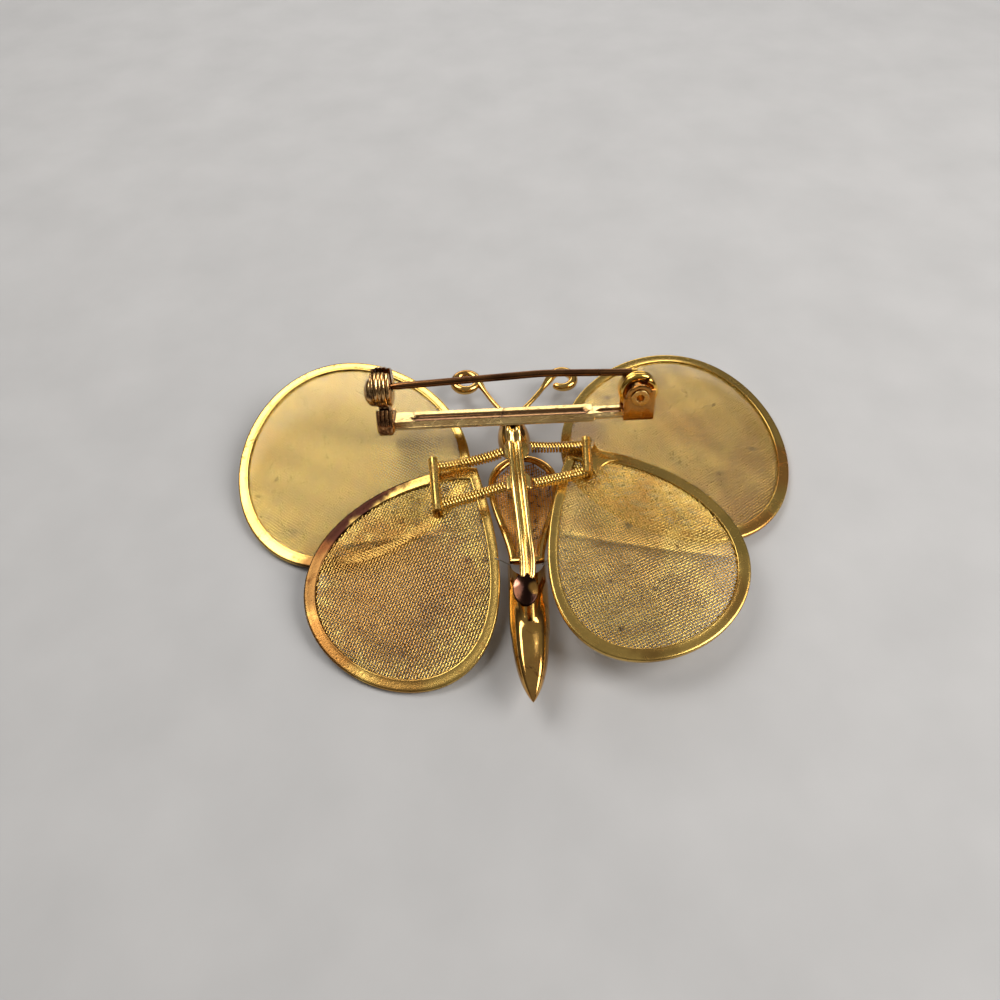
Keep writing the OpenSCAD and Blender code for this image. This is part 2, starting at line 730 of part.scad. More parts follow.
// The neck between the bar and the ears, with its own small groove
neck_groove = 0.5;
// How far the neck's groove stops short of the bar
neck_groove_gap = 0.3;
module bar_neck() {
  from = bar_mid + bar_l / 2;
  to = hinge_at - ear_l / 2;
  translate([0, 0, -bar_t]) difference() {
    linear_extrude(neck_t) polygon([[from - over, -bar_w / 2], [from, -bar_w / 2], [from + over, -neck_w / 2],
      [to + over, -neck_w / 2], [to + over, neck_w / 2], [from + over, neck_w / 2], [from, bar_w / 2],
      [from - over, bar_w / 2]]);
    translate([from + neck_groove_gap, -neck_groove / 2, neck_t - neck_groove / 2])
      cube([to - from, neck_groove, neck_groove]);
  }
}

// Two ears with the rivet's holes, on the web that joins them
// The ear's square corner: how far it starts from the round's far side, and its height as a share of
// the metal above the hole
ear_corner = 0.3;
ear_corner_share = 0.55;
module ears() {
  far = ear_gap / 2 + ear_t;
  low = -bar_t;
  corner = ear_top - ear_corner;
  translate([hinge_at, hinge_side, 0]) {
    translate([-ear_l / 2, -far, low]) cube([ear_l, 2 * far, web_t]);
    for (s = [-1, 1]) translate([0, s * (ear_gap + ear_t) / 2, 0]) difference() {
      union() {
        translate([-ear_l / 2, -ear_t / 2, low]) cube([ear_l, ear_t, hinge_h - low]);
        translate([0, 0, hinge_h]) rotate([90, 0, 0]) cylinder(r = ear_top, h = ear_t, center = true);
        translate([-corner, -ear_t / 2, hinge_h]) cube([ear_l / 2 + corner, ear_t, ear_top * ear_corner_share]);
      }
      translate([0, 0, hinge_h]) rotate([90, 0, 0])
        cylinder(d = rivet_d + 2 * seam, h = ear_t + over, center = true);
    }
  }
}

module pin_bar() {
  color("wheat") in_brooch() in_bar() {
    bar_blank();
    bar_neck();
    ears();
  }
}

// The hollow rivet: a tube through both ears with a flared lip outside each
lip_t = 0.14;
lip_d = 1.7;
module hinge_rivet() {
  half = ear_gap / 2 + ear_t + seam;
  color("peru") in_brooch() in_bar() translate([hinge_at, hinge_side, hinge_h]) rotate([90, 0, 0]) difference() {
    union() {
      cylinder(d = rivet_d, h = 2 * half + 2 * lip_t, center = true);
      for (s = [-1, 1]) translate([0, 0, s * (half + lip_t / 2)]) cylinder(d = lip_d, h = lip_t, center = true);
    }
    cylinder(d = rivet_bore, h = 2 * half + 2 * lip_t + over, center = true);
  }
}

// The needle leaves the top of its coil, rises a little, bends down and runs into the catch
bend_a = 5;
bend_r = 30;
rise_a = 3.2;
// The bend is a little fuller than the straight stretches, which run into it
bend_in = 0.1;
bend_d = needle_d + 0.01;
coil_pitch = needle_d - 0.1;
// The coil's wire is a little fuller than the drawn shaft
coil_d = needle_d + 0.02;
module needle() {
  side = (ear_gap - needle_d) / 2 - running;
  rise_l = needle_rise();
  skew = atan(side / (hinge_at - catch_at()));
  color("saddlebrown") in_brooch() in_bar() translate([hinge_at, hinge_side, hinge_h]) {
    for (i = [0 : coil_turns - 1]) translate([0, side - i * coil_pitch, 0])
      rotate([90, 0, 0]) rotate_extrude() translate([coil_r, 0]) circle(d = coil_d);
    translate([0, side, 0]) rotate([0, 0, skew]) rotate([0, rise_a, 0]) translate([0, 0, coil_r]) {
      rotate([0, -90, 0]) cylinder(d = needle_d, h = rise_l + bend_in);
      translate([-rise_l, 0, -bend_r]) {
        rotate([90, 0, 180]) rotate([0, 0, 90 - bend_a]) rotate_extrude(angle = bend_a)
          translate([bend_r, 0]) circle(d = bend_d);
        rotate([0, -bend_a, 0]) translate([0, 0, bend_r]) rotate([0, -90, 0]) {
          translate([0, 0, -bend_in]) cylinder(d = needle_d, h = shaft_l + bend_in);
          translate([0, 0, shaft_l]) cylinder(d1 = needle_d, d2 = needle_d / 4, h = point_l);
        }
      }
    }
  }
}
// The catch's middle along the bar
function catch_at() = bar_mid - bar_l / 2 - catch_past;
// Length of the needle between its coil and its bend, so that the point ends inside the catch
function needle_rise() = hinge_at - catch_at() + catch_l / 2 - point_l - shaft_l - bend_r * sin(bend_a);

// The fixed ring of the catch on its foot, which wraps the bar's end
ring_l = 1.1;
foot_w = 1.8;
foot_l = 1.5;
wrap_t = 0.3;
module catch_housing() {
  inner_r = catch_d / 2 - catch_wall;
  color("saddlebrown") in_brooch() in_bar() translate([catch_at(), 0, 0]) difference() {
    union() {
      translate([0, hinge_side, catch_h]) rotate([0, 90, 0]) cylinder(d = catch_d, h = ring_l, center = true);
      translate([-ring_l / 2, hinge_side - foot_w / 2, 0]) cube([ring_l, foot_w, catch_h - inner_r]);
      translate([-foot_l / 2, -bar_w / 2 - seam - wrap_t, -bar_t - seam - wrap_t])
        cube([foot_l, bar_w + 2 * seam + 2 * wrap_t, bar_t + 2 * seam + 2 * wrap_t]);
    }
    translate([-foot_l, -bar_w / 2 - seam, -bar_t - seam])
      cube([2 * foot_l, bar_w + 2 * seam, bar_t + 2 * seam]);
    translate([0, hinge_side, catch_h]) rotate([0, 90, 0]) cylinder(r = inner_r, h = 2 * foot_l, center = true);
    translate([-foot_l, hinge_side - catch_slot / 2, catch_h]) cube([2 * foot_l, catch_slot, catch_d]);
  }
}

// The roller turns inside the ring. Its slot lines up with the ring's while the catch is open, and
// a domed tab on its outer end turns it
tab_r = 1.5;
tab_rise = 0.85;
tab_at = 0.3;
module catch_roller() {
  inner_r = catch_d / 2 - catch_wall;
  flange_l = (catch_l - ring_l) / 2 - running;
  dome_r = (tab_r * tab_r + tab_rise * tab_rise) / (2 * tab_rise);
  color("saddlebrown") in_brooch() in_bar() translate([catch_at(), hinge_side, catch_h]) difference() {
    union() {
      rotate([0, 90, 0]) cylinder(r = inner_r - running, h = catch_l, center = true);
      for (s = [-1, 1]) translate([s * (catch_l - flange_l) / 2, 0, 0]) rotate([0, 90, 0])
        cylinder(r = catch_d / 2 - catch_wall / 3, h = flange_l, center = true);
      translate([-catch_l / 2, -tab_at, -tab_at]) difference() {
        translate([dome_r - tab_rise, 0, 0]) sphere(r = dome_r);
        translate([0, -2 * dome_r, -2 * dome_r]) cube(4 * dome_r);
      }
    }
    translate([-catch_l / 2 - 2 * tab_r, -catch_slot / 2, 0])
      cube([catch_l + 4 * tab_r, catch_slot, catch_d]);
    rotate([0, 90, 0]) cylinder(d = catch_slot, h = catch_l + 4 * tab_r, center = true);
  }
}

wing_frame_left();
gauze_upper_left();
gauze_lower_left();
wing_frame_right();
gauze_upper_right();
gauze_lower_right();
spring_upper_left();
spring_lower_left();
spring_upper_right();
spring_lower_right();
stem();
thorax_rim();
thorax_gauze();
abdomen();
head();
pin_bar();
hinge_rivet();
needle();
catch_housing();
catch_roller();
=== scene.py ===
"""Visual model of a gold-tone gauze butterfly brooch that lies face down.

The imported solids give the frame. Wings, springs, body and pin are dressed here: woven wire panels,
wound springs, rolled rims and aged metal. Shapes are worked out in the maker's millimetres, whose
origin is the same as the source of the solids, and are moved to the frame's metres when a mesh is made.
"""

import json
import logging
import math
from dataclasses import dataclass
from enum import Enum
from typing import Callable

import bmesh
import bpy
import numpy as np
from mathutils import Matrix, Vector

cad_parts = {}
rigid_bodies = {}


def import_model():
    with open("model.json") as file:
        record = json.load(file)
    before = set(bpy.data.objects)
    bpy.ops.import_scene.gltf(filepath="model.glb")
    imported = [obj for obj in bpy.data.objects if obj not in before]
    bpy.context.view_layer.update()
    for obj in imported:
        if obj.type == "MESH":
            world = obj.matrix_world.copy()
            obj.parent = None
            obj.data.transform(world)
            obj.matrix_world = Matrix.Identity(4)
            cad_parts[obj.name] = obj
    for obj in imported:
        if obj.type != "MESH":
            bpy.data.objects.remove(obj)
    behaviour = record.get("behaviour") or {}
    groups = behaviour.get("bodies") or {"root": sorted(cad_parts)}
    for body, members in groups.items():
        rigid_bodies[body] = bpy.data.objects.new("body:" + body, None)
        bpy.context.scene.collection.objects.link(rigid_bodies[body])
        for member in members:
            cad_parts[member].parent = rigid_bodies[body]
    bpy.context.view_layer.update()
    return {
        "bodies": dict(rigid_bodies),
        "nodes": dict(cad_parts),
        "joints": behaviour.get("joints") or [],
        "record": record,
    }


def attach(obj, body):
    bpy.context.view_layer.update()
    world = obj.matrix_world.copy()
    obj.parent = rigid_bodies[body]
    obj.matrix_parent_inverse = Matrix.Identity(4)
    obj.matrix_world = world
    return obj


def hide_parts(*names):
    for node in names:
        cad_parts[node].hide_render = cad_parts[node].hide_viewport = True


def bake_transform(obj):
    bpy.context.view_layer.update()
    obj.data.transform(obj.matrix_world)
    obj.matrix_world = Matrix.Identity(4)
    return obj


LOG = logging.getLogger("brooch")
Array = np.ndarray
Triple = tuple[float, float, float]
Colour = tuple[float, float, float, float]
Placing = Callable[[Array], Array]
Finishes = dict[str, bpy.types.Material]

MM = 0.001
# Where the frame's origin lies, in the maker's millimetres
CENTRE = np.array((0.0760502, 9.50369, -0.142191))
TINY = 1e-12
MERGE_REACH = 2e-7


class Side(Enum):
    """Side of the brooch, seen from its back with the head away from the viewer."""

    LEFT = -1
    RIGHT = 1


class Tier(Enum):
    """Pair of wings: the upper pair is nearer the head."""

    UPPER = "upper"
    LOWER = "lower"


# Points and outlines


def turned(points: Array, angles: Triple) -> Array:
    """Turns points about X, then Y, then Z.

    Args:
        points: Array whose last axis holds x, y and z.
        angles: The three angles in degrees.

    Returns:
        The turned points, in an array of the same shape.
    """
    a, b, c = np.radians(angles)
    x, y, z = points[..., 0], points[..., 1], points[..., 2]
    y, z = y * np.cos(a) - z * np.sin(a), y * np.sin(a) + z * np.cos(a)
    x, z = x * np.cos(b) + z * np.sin(b), z * np.cos(b) - x * np.sin(b)
    x, y = x * np.cos(c) - y * np.sin(c), x * np.sin(c) + y * np.cos(c)
    return np.stack((x, y, z), -1)


def in_frame(points: Array) -> Array:
    """Moves points from the maker's millimetres to the frame's metres.

    Args:
        points: Array whose last axis is 3 long.

    Returns:
        The moved points.
    """
    return (np.asarray(points) - CENTRE) * MM


def spread(*parts: Array | float) -> Array:
    """Joins coordinates into points, once each is spread over the shape of the others.

    Args:
        *parts: An array or a number for each coordinate.

    Returns:
        Array of points, with their coordinates on the last axis.
    """
    return np.stack(np.broadcast_arrays(*parts), -1)


@dataclass(frozen=True)
class Seat:
    """Where a piece sits: it is turned, then moved, and then carried along by another seat."""

    at: Triple
    angles: Triple = (0.0, 0.0, 0.0)
    within: "Seat | None" = None

    def put(self, points: Array | Triple) -> Array:
        """Moves points from the seat's own frame to the maker's frame.

        Args:
            points: One point, or an array whose last axis is 3 long.

        Returns:
            The moved points.
        """
        moved = np.asarray(self.at) + turned(np.asarray(points, float), self.angles)
        return self.within.put(moved) if self.within else moved


def unit(vectors: Array) -> Array:
    """Scales vectors on the last axis to length one.

    Args:
        vectors: Array of vectors.

    Returns:
        The scaled vectors.
    """
    return vectors / np.maximum(np.linalg.norm(vectors, axis=-1, keepdims=True), TINY)


def smoothstep(low: float, high: float, values: Array) -> Array:
    """Share between two values that starts and ends level: 3s^2 - 2s^3.

    Args:
        low: Where the share is zero.
        high: Where it is one.
        values: Array of values.

    Returns:
        Array of shares.
    """
    share = np.clip((values - low) / (high - low), 0, 1)
    return share * share * (3 - 2 * share)


def smooth_route(route: tuple[Triple, ...] | list[Triple] | Array, count: int) -> Array:
    """Carries a smooth curve through the points of a route.

    Each stretch is a cubic whose slope at a point is half the step between that point's neighbours.

    Args:
        route: Points of the route.
        count: Number of points wanted along the curve.

    Returns:
        Array of count points.
    """
    p = np.asarray(route, float)
    p = np.concatenate((2 * p[:1] - p[1:2], p, 2 * p[-1:] - p[-2:-1]))
    place = np.linspace(0, len(p) - 3, count)
    i = np.minimum(place.astype(int), len(p) - 4)
    t = (place - i)[:, None]
    a, b, c, d = p[i], p[i + 1], p[i + 2], p[i + 3]
    return 0.5 * (2 * b + (c - a) * t + (2 * a - 5 * b + 4 * c - d) * t**2
                  + (3 * b - a - 3 * c + d) * t**3)


SQUARE = ((-1, -1), (1, -1), (1, 1), (-1, 1))


def loop_through(corners: tuple[tuple[float, float], ...], steps: int = 8) -> Array:
    """Points at even steps along the sides of a closed flat outline that is given by its corners.

    Args:
        corners: The outline's corners in order.
        steps: Number of points on each side.

    Returns:
        Array of flat points.
    """
    start = np.asarray(corners, float)
    return np.linspace(start, np.roll(start, -1, 0), steps, endpoint=False, axis=1).reshape(-1, 2)


def edge_distance(points: Array, outline: Array) -> Array:
    """Distance of flat points from a closed outline, positive inside it.

    A point is inside where a line from it toward +X crosses the outline an odd number of times.

    Args:
        points: Array of n flat points.
        outline: Array of m corners.

    Returns:
        Array of n distances.
    """
    step = np.roll(outline, -1, 0) - outline
    offset = points[:, None] - outline[None]
    share = np.clip((offset * step).sum(-1) / np.maximum((step**2).sum(-1), TINY), 0, 1)
    far = np.linalg.norm(offset - share[..., None] * step, axis=-1).min(1)
    rise = np.where(np.abs(step[:, 1]) < TINY, TINY, step[:, 1])
    level = (outline[:, 1] > points[:, 1:2]) != (outline[:, 1] + step[:, 1] > points[:, 1:2])
    meets = outline[:, 0] + step[:, 0] * (points[:, 1:2] - outline[:, 1]) / rise
    inside = (level & (points[:, :1] < meets)).sum(1) % 2 == 1
    return np.where(inside, far, -far)


@dataclass(frozen=True)
class Drop:
    """Outline of a kind of wing: a drop that is narrow at its root and round at its far end."""

    length: float
    half: float
    pinch_lead: float
    pinch_trail: float
    lean: float
    corner: float

    def outline(self, inset: Array | float, count: int) -> Array:
        """Points round the drop, drawn in by one or more insets.

        u = L(1 - cos t)/2 and v = B(sin t sin(t/2)^pinch + lean sin(pi u/L)), scaled about the root.
        The widest place, which sets the scale across, is looked for between 60 and 140 degrees.

        Args:
            inset: How far every side is drawn in, one value or an array of k.
            count: Number of points round the outline.

        Returns:
            Array of count by k by 2, or count by 2 for one inset.
        """
        insets = np.atleast_1d(np.asarray(inset, float))
        t = np.linspace(0, 2 * np.pi, count, endpoint=False)[:, None]
        pinch = np.where(t > np.pi, self.pinch_lead, self.pinch_trail)
        u = self.length * (1 - np.cos(t)) / 2
        lean = self.lean * np.sin(np.pi * u / self.length)
        v = self.half * (np.sin(t) * np.abs(np.sin(t / 2)) ** pinch + lean)
        wide = np.radians(np.arange(60, 141, 5))
        mean = (self.pinch_lead + self.pinch_trail) / 2
        widest = (self.half * np.sin(wide) * np.sin(wide / 2) ** mean).max()
        back = insets * self.corner
        points = np.stack(
            (back + u * (self.length - insets - back) / self.length, v * (1 - insets / widest)), -1
        )
        return points if np.ndim(inset) else points[:, 0]


# Meshes


class Surface:
    """Grids, tubes, shells and plates gathered into one mesh, in the maker's millimetres."""

    def __init__(self) -> None:
        """Starts with no points."""
        self.points: list[Array] = []
        self.quads: list[Array] = []
        self.triangles: list[Array] = []
        self.quad_paints: list[Array] = []
        self.triangle_paints: list[Array] = []
        self.count = 0
        self.paint = 0

    def add(
        self, points: Array, quads: Array, triangles: Array | None = None, paints: Array | None = None
    ) -> None:
        """Adds points and the faces on them.

        Args:
            points: Array of n points.
            quads: Array of four-cornered faces, numbered from this call's first point.
            triangles: Array of three-cornered faces, numbered the same way.
            paints: Number of each quad's finish, or the surface's own where it is None.
        """
        quads = quads.reshape(-1, 4)
        self.points.append(points.reshape(-1, 3))
        self.quads.append(quads + self.count)
        self.quad_paints.append(np.full(len(quads), self.paint) if paints is None else paints.ravel())
        if triangles is not None:
            self.triangles.append(triangles.reshape(-1, 3) + self.count)
            self.triangle_paints.append(np.full(len(self.triangles[-1]), self.paint))
        self.count += points.size // 3

    @staticmethod
    def _cells(index: Array) -> Array:
        """Four-cornered faces between the neighbours in a grid of point numbers.

        Args:
            index: Array of rows by columns of point numbers.

        Returns:
            Array of one row less by one column less by 4.
        """
        return np.stack((index[:-1, :-1], index[:-1, 1:], index[1:, 1:], index[1:, :-1]), -1)

    def grid(
        self, points: Array, rows_close: bool = False, columns_close: bool = False,
        poles: tuple[Array | None, Array | None] = (None, None), paints: Array | None = None,
    ) -> None:
        """Skins a grid of points.

        Args:
            points: Array of rows by columns by 3.
            rows_close: Whether the last row joins the first.
            columns_close: Whether the last column joins the first.
            poles: Points that close the first and the last row as fans, where they are given.
            paints: Number of each face's finish, an array of rows of faces by columns of faces.
        """
        rows, columns = points.shape[:2]
        index = np.arange(rows * columns).reshape(rows, columns)
        fans = []
        extra = []
        for pole, row in zip(poles, (index[0], index[-1])):
            if pole is not None:
                centre = np.full(columns, rows * columns + len(extra))
                fans.append(np.stack((centre, row, np.roll(row, -1)), -1))
                extra.append(np.asarray(pole, float).reshape(1, 3))
        if rows_close:
            index = np.concatenate((index, index[:1]), 0)
        if columns_close:
            index = np.concatenate((index, index[:, :1]), 1)
        whole = np.concatenate([points.reshape(-1, 3)] + extra)
        self.add(whole, self._cells(index), np.concatenate(fans) if fans else None, paints)

    def tube(
        self, path: Array, radius: Array | float, sides: int, up: Array | Triple,
        paints: Array | None = None,
    ) -> None:
        """Carries a round wire along a path and closes its two ends.

        Args:
            path: Array of n points.
            radius: One radius, or one for each point.
            sides: Number of sides of the wire.
            up: Direction or directions that are never parallel to the path.
            paints: Number of the finish of each stretch between two points of the path.
        """
        along = unit(np.gradient(path, axis=0))
        side = unit(np.cross(np.broadcast_to(np.asarray(up, float), path.shape), along))
        above = np.cross(along, side)
        a = np.linspace(0, 2 * np.pi, sides, endpoint=False)[None, :, None]
        r = np.broadcast_to(np.asarray(radius, float), path.shape[:1])[:, None, None]
        rings = path[:, None] + r * (side[:, None] * np.cos(a) + above[:, None] * np.sin(a))
        if paints is not None:
            paints = np.repeat(paints[:, None], sides, 1)
        self.grid(rings, columns_close=True, poles=(path[0], path[-1]), paints=paints)

    def washer(self, outer: Array, inner: Array, thick: float, rounding: float, place: Placing) -> None:
        """Makes a flat plate with a hole and with rolled edges, from two outlines of equal count.

        A ring lies at a reach from the outer edge, or at minus a reach from the hole's edge. The rings
        of the lower face mirror those of the upper one.

        Args:
            outer: Array of n flat corners round the plate.
            inner: Array of n flat corners round its hole.
            thick: Thickness of the plate, half on each side of the flat plane.
            rounding: How far the rolled edges reach in.
            place: Moves the plate's points to the maker's frame.
        """
        span = np.linalg.norm(outer - inner, axis=1, keepdims=True)
        half, near, hair = thick / 2, 0.3 * rounding, 1e-4
        upper = [(0.0, half - rounding), (near, half - near), (rounding, half),
                 (-rounding, half), (-near, half - near), (-hair, half - rounding)]
        rings = []
        for reach, level in upper + [(reach, -level) for reach, level in reversed(upper)]:
            share = 1 - reach / span if reach >= 0 else -reach / span
            flat = inner + (outer - inner) * share
            rings.append(spread(flat[:, 0], flat[:, 1], level))
        self.grid(place(np.stack(rings)), rows_close=True, columns_close=True)

    def shell(self, outer: Array, inner: Array) -> None:
        """Closes two grids of equal size into a sheet with a wall all round its border.

        Args:
            outer: Array of rows by columns by 3.
            inner: The same for the sheet's other face.
        """
        rows, columns = outer.shape[:2]
        index = np.arange(rows * columns).reshape(rows, columns)
        front = self._cells(index).reshape(-1, 4)
        loop = np.concatenate((index[0], index[1:, -1], index[-1, -2::-1], index[-2:0:-1, 0]))
        after = np.roll(loop, -1)
        far = rows * columns
        wall = np.stack((loop, loop + far, after + far, after), -1)
        self.add(np.concatenate((outer.reshape(-1, 3), inner.reshape(-1, 3))),
                 np.concatenate((front, front[:, ::-1] + far, wall)))

    def plate(
        self, outline: Array, thick: float, rounding: float, dome: float, place: Placing
    ) -> None:
        """Makes a flat plate with rolled edges and a slightly domed upper face.

        Each ring is the outline drawn toward the middle. Both edges are quarter rounds, and the upper
        face rises by the dome times one minus the squared share.

        Args:
            outline: Array of n flat corners that the middle, at zero, sees all round.
            thick: Thickness of the plate, half on each side of the flat plane.
            rounding: Radius of the rolled edges.
            dome: Height of the dome in the middle.
            place: Moves the plate's points to the maker's frame.
        """
        reach = np.linalg.norm(outline, axis=1)
        turn = np.radians(np.linspace(0, 90, 5))
        share, least = np.array((0.82, 0.6, 0.38, 0.18)), 0.05
        drawn = rounding * np.concatenate((1 - np.sin(turn), 1 - np.cos(turn), np.ones(len(share))))
        level = np.concatenate((rounding * (1 - np.cos(turn)) - thick / 2,
                                thick / 2 - rounding * (1 - np.sin(turn)),
                                thick / 2 + dome * (1 - share**2)))
        inward = np.concatenate((np.ones(2 * len(turn)), share))[:, None, None]
        flat = outline * np.maximum(1 - drawn[:, None] / reach, least)[..., None] * inward
        below, above = np.array((0, 0, -thick / 2)), np.array((0, 0, thick / 2 + dome))
        self.grid(place(spread(flat[..., 0], flat[..., 1], level[:, None])), columns_close=True,
                  poles=(place(below), place(above)))

    def lump(self, middle: Triple, radii: Triple, seed: float) -> None:
        """Adds a small uneven lump of solder: an ellipsoid whose radius waves by up to an eighth.

        Args:
            middle: The lump's middle.
            radii: Its three radii.
            seed: Phase of the waves.
        """
        v = np.linspace(0.12, np.pi - 0.12, 14)[:, None]
        u = np.linspace(0, 2 * np.pi, 22, endpoint=False)[None]
        wave = 1 + 0.07 * np.sin(3 * u + seed) * np.sin(2 * v + seed)
        wave = wave + 0.05 * np.sin(5 * u - 2 * seed) * np.sin(v)
        ball = spread(np.sin(v) * np.cos(u), np.sin(v) * np.sin(u), np.cos(v)) * wave[..., None]
        tall = (0, 0, radii[2])
        self.grid(np.asarray(middle) + ball * radii, columns_close=True,
                  poles=(np.asarray(middle) + tall, np.asarray(middle) - tall))

    def build(
        self, name: str, *materials: bpy.types.Material, crisp: float | None = 40
    ) -> bpy.types.Object:
        """Makes one object of everything that was gathered.

        Args:
            name: The object's name.
            *materials: Its materials, in the order of the finishes' numbers.
            crisp: Edges sharper than this many degrees are shaded sharp, or none where it is None.

        Returns:
            The new object, with its faces outward and its place in its mesh.
        """
        points = in_frame(np.concatenate(self.points))
        quads = np.concatenate(self.quads)
        triangles = np.concatenate(self.triangles) if self.triangles else np.zeros((0, 3), int)
        used, back = np.unique(np.concatenate((quads.ravel(), triangles.ravel())), return_inverse=True)
        sizes = np.concatenate((np.full(len(quads), 4), np.full(len(triangles), 3)))
        mesh = bpy.data.meshes.new(name)
        mesh.vertices.add(len(used))
        mesh.vertices.foreach_set("co", points[used].astype(np.float32).ravel())
        mesh.loops.add(len(back))
        mesh.loops.foreach_set("vertex_index", back.astype(np.int32))
        mesh.polygons.add(len(sizes))
        mesh.polygons.foreach_set("loop_start", (np.cumsum(sizes) - sizes).astype(np.int32))
        paints = np.concatenate(self.quad_paints + self.triangle_paints)
        mesh.polygons.foreach_set("material_index", paints.astype(np.int32))
        mesh.update(calc_edges=True)
        body = bmesh.new()
        body.from_mesh(mesh)
        bmesh.ops.remove_doubles(body, verts=body.verts, dist=MERGE_REACH)
        bmesh.ops.recalc_face_normals(body, faces=body.faces)
        body.to_mesh(mesh)
        body.free()
        mesh.polygons.foreach_set("use_smooth", np.ones(len(mesh.polygons), bool))
        if crisp is not None:
            mesh.set_sharp_from_angle(angle=math.radians(crisp))
        for material in materials:
            mesh.materials.append(material)
        piece = bpy.data.objects.new(name, mesh)
        bpy.context.scene.collection.objects.link(piece)
        LOG.info("%s: %d faces", name, len(mesh.polygons))
        return piece


# Finishes


def tone(red: int, green: int, blue: int) -> Colour:
    """Linear colour of a display colour.

    Args:
        red: Red in steps from 0 to 255.
        green: Green in the same steps.
        blue: Blue in the same steps.

    Returns:
        The colour's linear values, with a fourth value of one.
    """
    values = np.array((red, green, blue)) / 255
    linear = np.where(values <= 0.04045, values / 12.92, ((values + 0.055) / 1.055) ** 2.4)
    return (*linear.tolist(), 1.0)


PALE_GOLD = tone(250, 230, 160)
OLIVE_GOLD = tone(176, 150, 78)
COPPER = tone(190, 108, 46)
BRONZE = tone(108, 70, 38)
DARK_BRONZE = tone(52, 32, 22)
PURPLE_BROWN = tone(42, 22, 16)


class Tree:
    """A node tree with short calls for the nodes that the finishes use."""

    def __init__(self, tree: bpy.types.NodeTree) -> None:
        """Wraps a node tree.

        Args:
            tree: The tree.
        """
        self.tree = tree

    def node(self, kind: str, settings: dict | None = None, **inputs: object) -> bpy.types.Node:
        """Adds a node.

        Args:
            kind: The node's type.
            settings: Its properties.
            **inputs: Values or sockets for its inputs, with _ in place of a space.

        Returns:
            The new node.
        """
        made = self.tree.nodes.new(kind)
        for key, value in (settings or {}).items():
            setattr(made, key, value)
        for key, value in inputs.items():
            socket = made.inputs[int(key[1:])] if key[0] == "_" else made.inputs[key.replace("_", " ")]
            self.put(socket, value)
        return made

    def put(self, socket: bpy.types.NodeSocket, value: object) -> None:
        """Links a socket to an input, or sets the input's own value.

        Args:
            socket: The input.
            value: A socket, or a plain value.
        """
        if isinstance(value, bpy.types.NodeSocket):
            self.tree.links.new(value, socket)
        else:
            socket.default_value = value

    def math(
        self, operation: str, a: object, b: object = 0.0, clamp: bool = False
    ) -> bpy.types.NodeSocket:
        """Adds one step of arithmetic.

        Args:
            operation: The step's kind.
            a: First value or socket.
            b: Second value or socket.
            clamp: Whether the result is kept between zero and one.

        Returns:
            The result's socket.
        """
        made = self.node("ShaderNodeMath", {"operation": operation, "use_clamp": clamp}, _0=a, _1=b)
        return made.outputs[0]

    def mix(self, share: object, a: object, b: object) -> bpy.types.NodeSocket:
        """Mixes two colours.

        Args:
            share: Share of the second colour, a value or socket.
            a: First colour or socket.
            b: Second colour or socket.

        Returns:
            The result's socket.
        """
        settings = {"data_type": "RGBA", "clamp_factor": True}
        return self.node("ShaderNodeMix", settings, _0=share, _6=a, _7=b).outputs[2]

    def ramp(
        self, value: object, low: object, high: object, start: float = 0.0, end: float = 1.0
    ) -> bpy.types.NodeSocket:
        """Maps a value between two limits to another range, level at both ends.

        Args:
            value: Value or socket.
            low: Where the range starts, a value or socket.
            high: Where it ends, a value or socket.
            start: Result at the low limit.
            end: Result at the high limit.

        Returns:
            The result's socket.
        """
        made = self.node("ShaderNodeMapRange", {"interpolation_type": "SMOOTHSTEP"},
                         _0=value, _1=low, _2=high, _3=start, _4=end)
        return made.outputs[0]


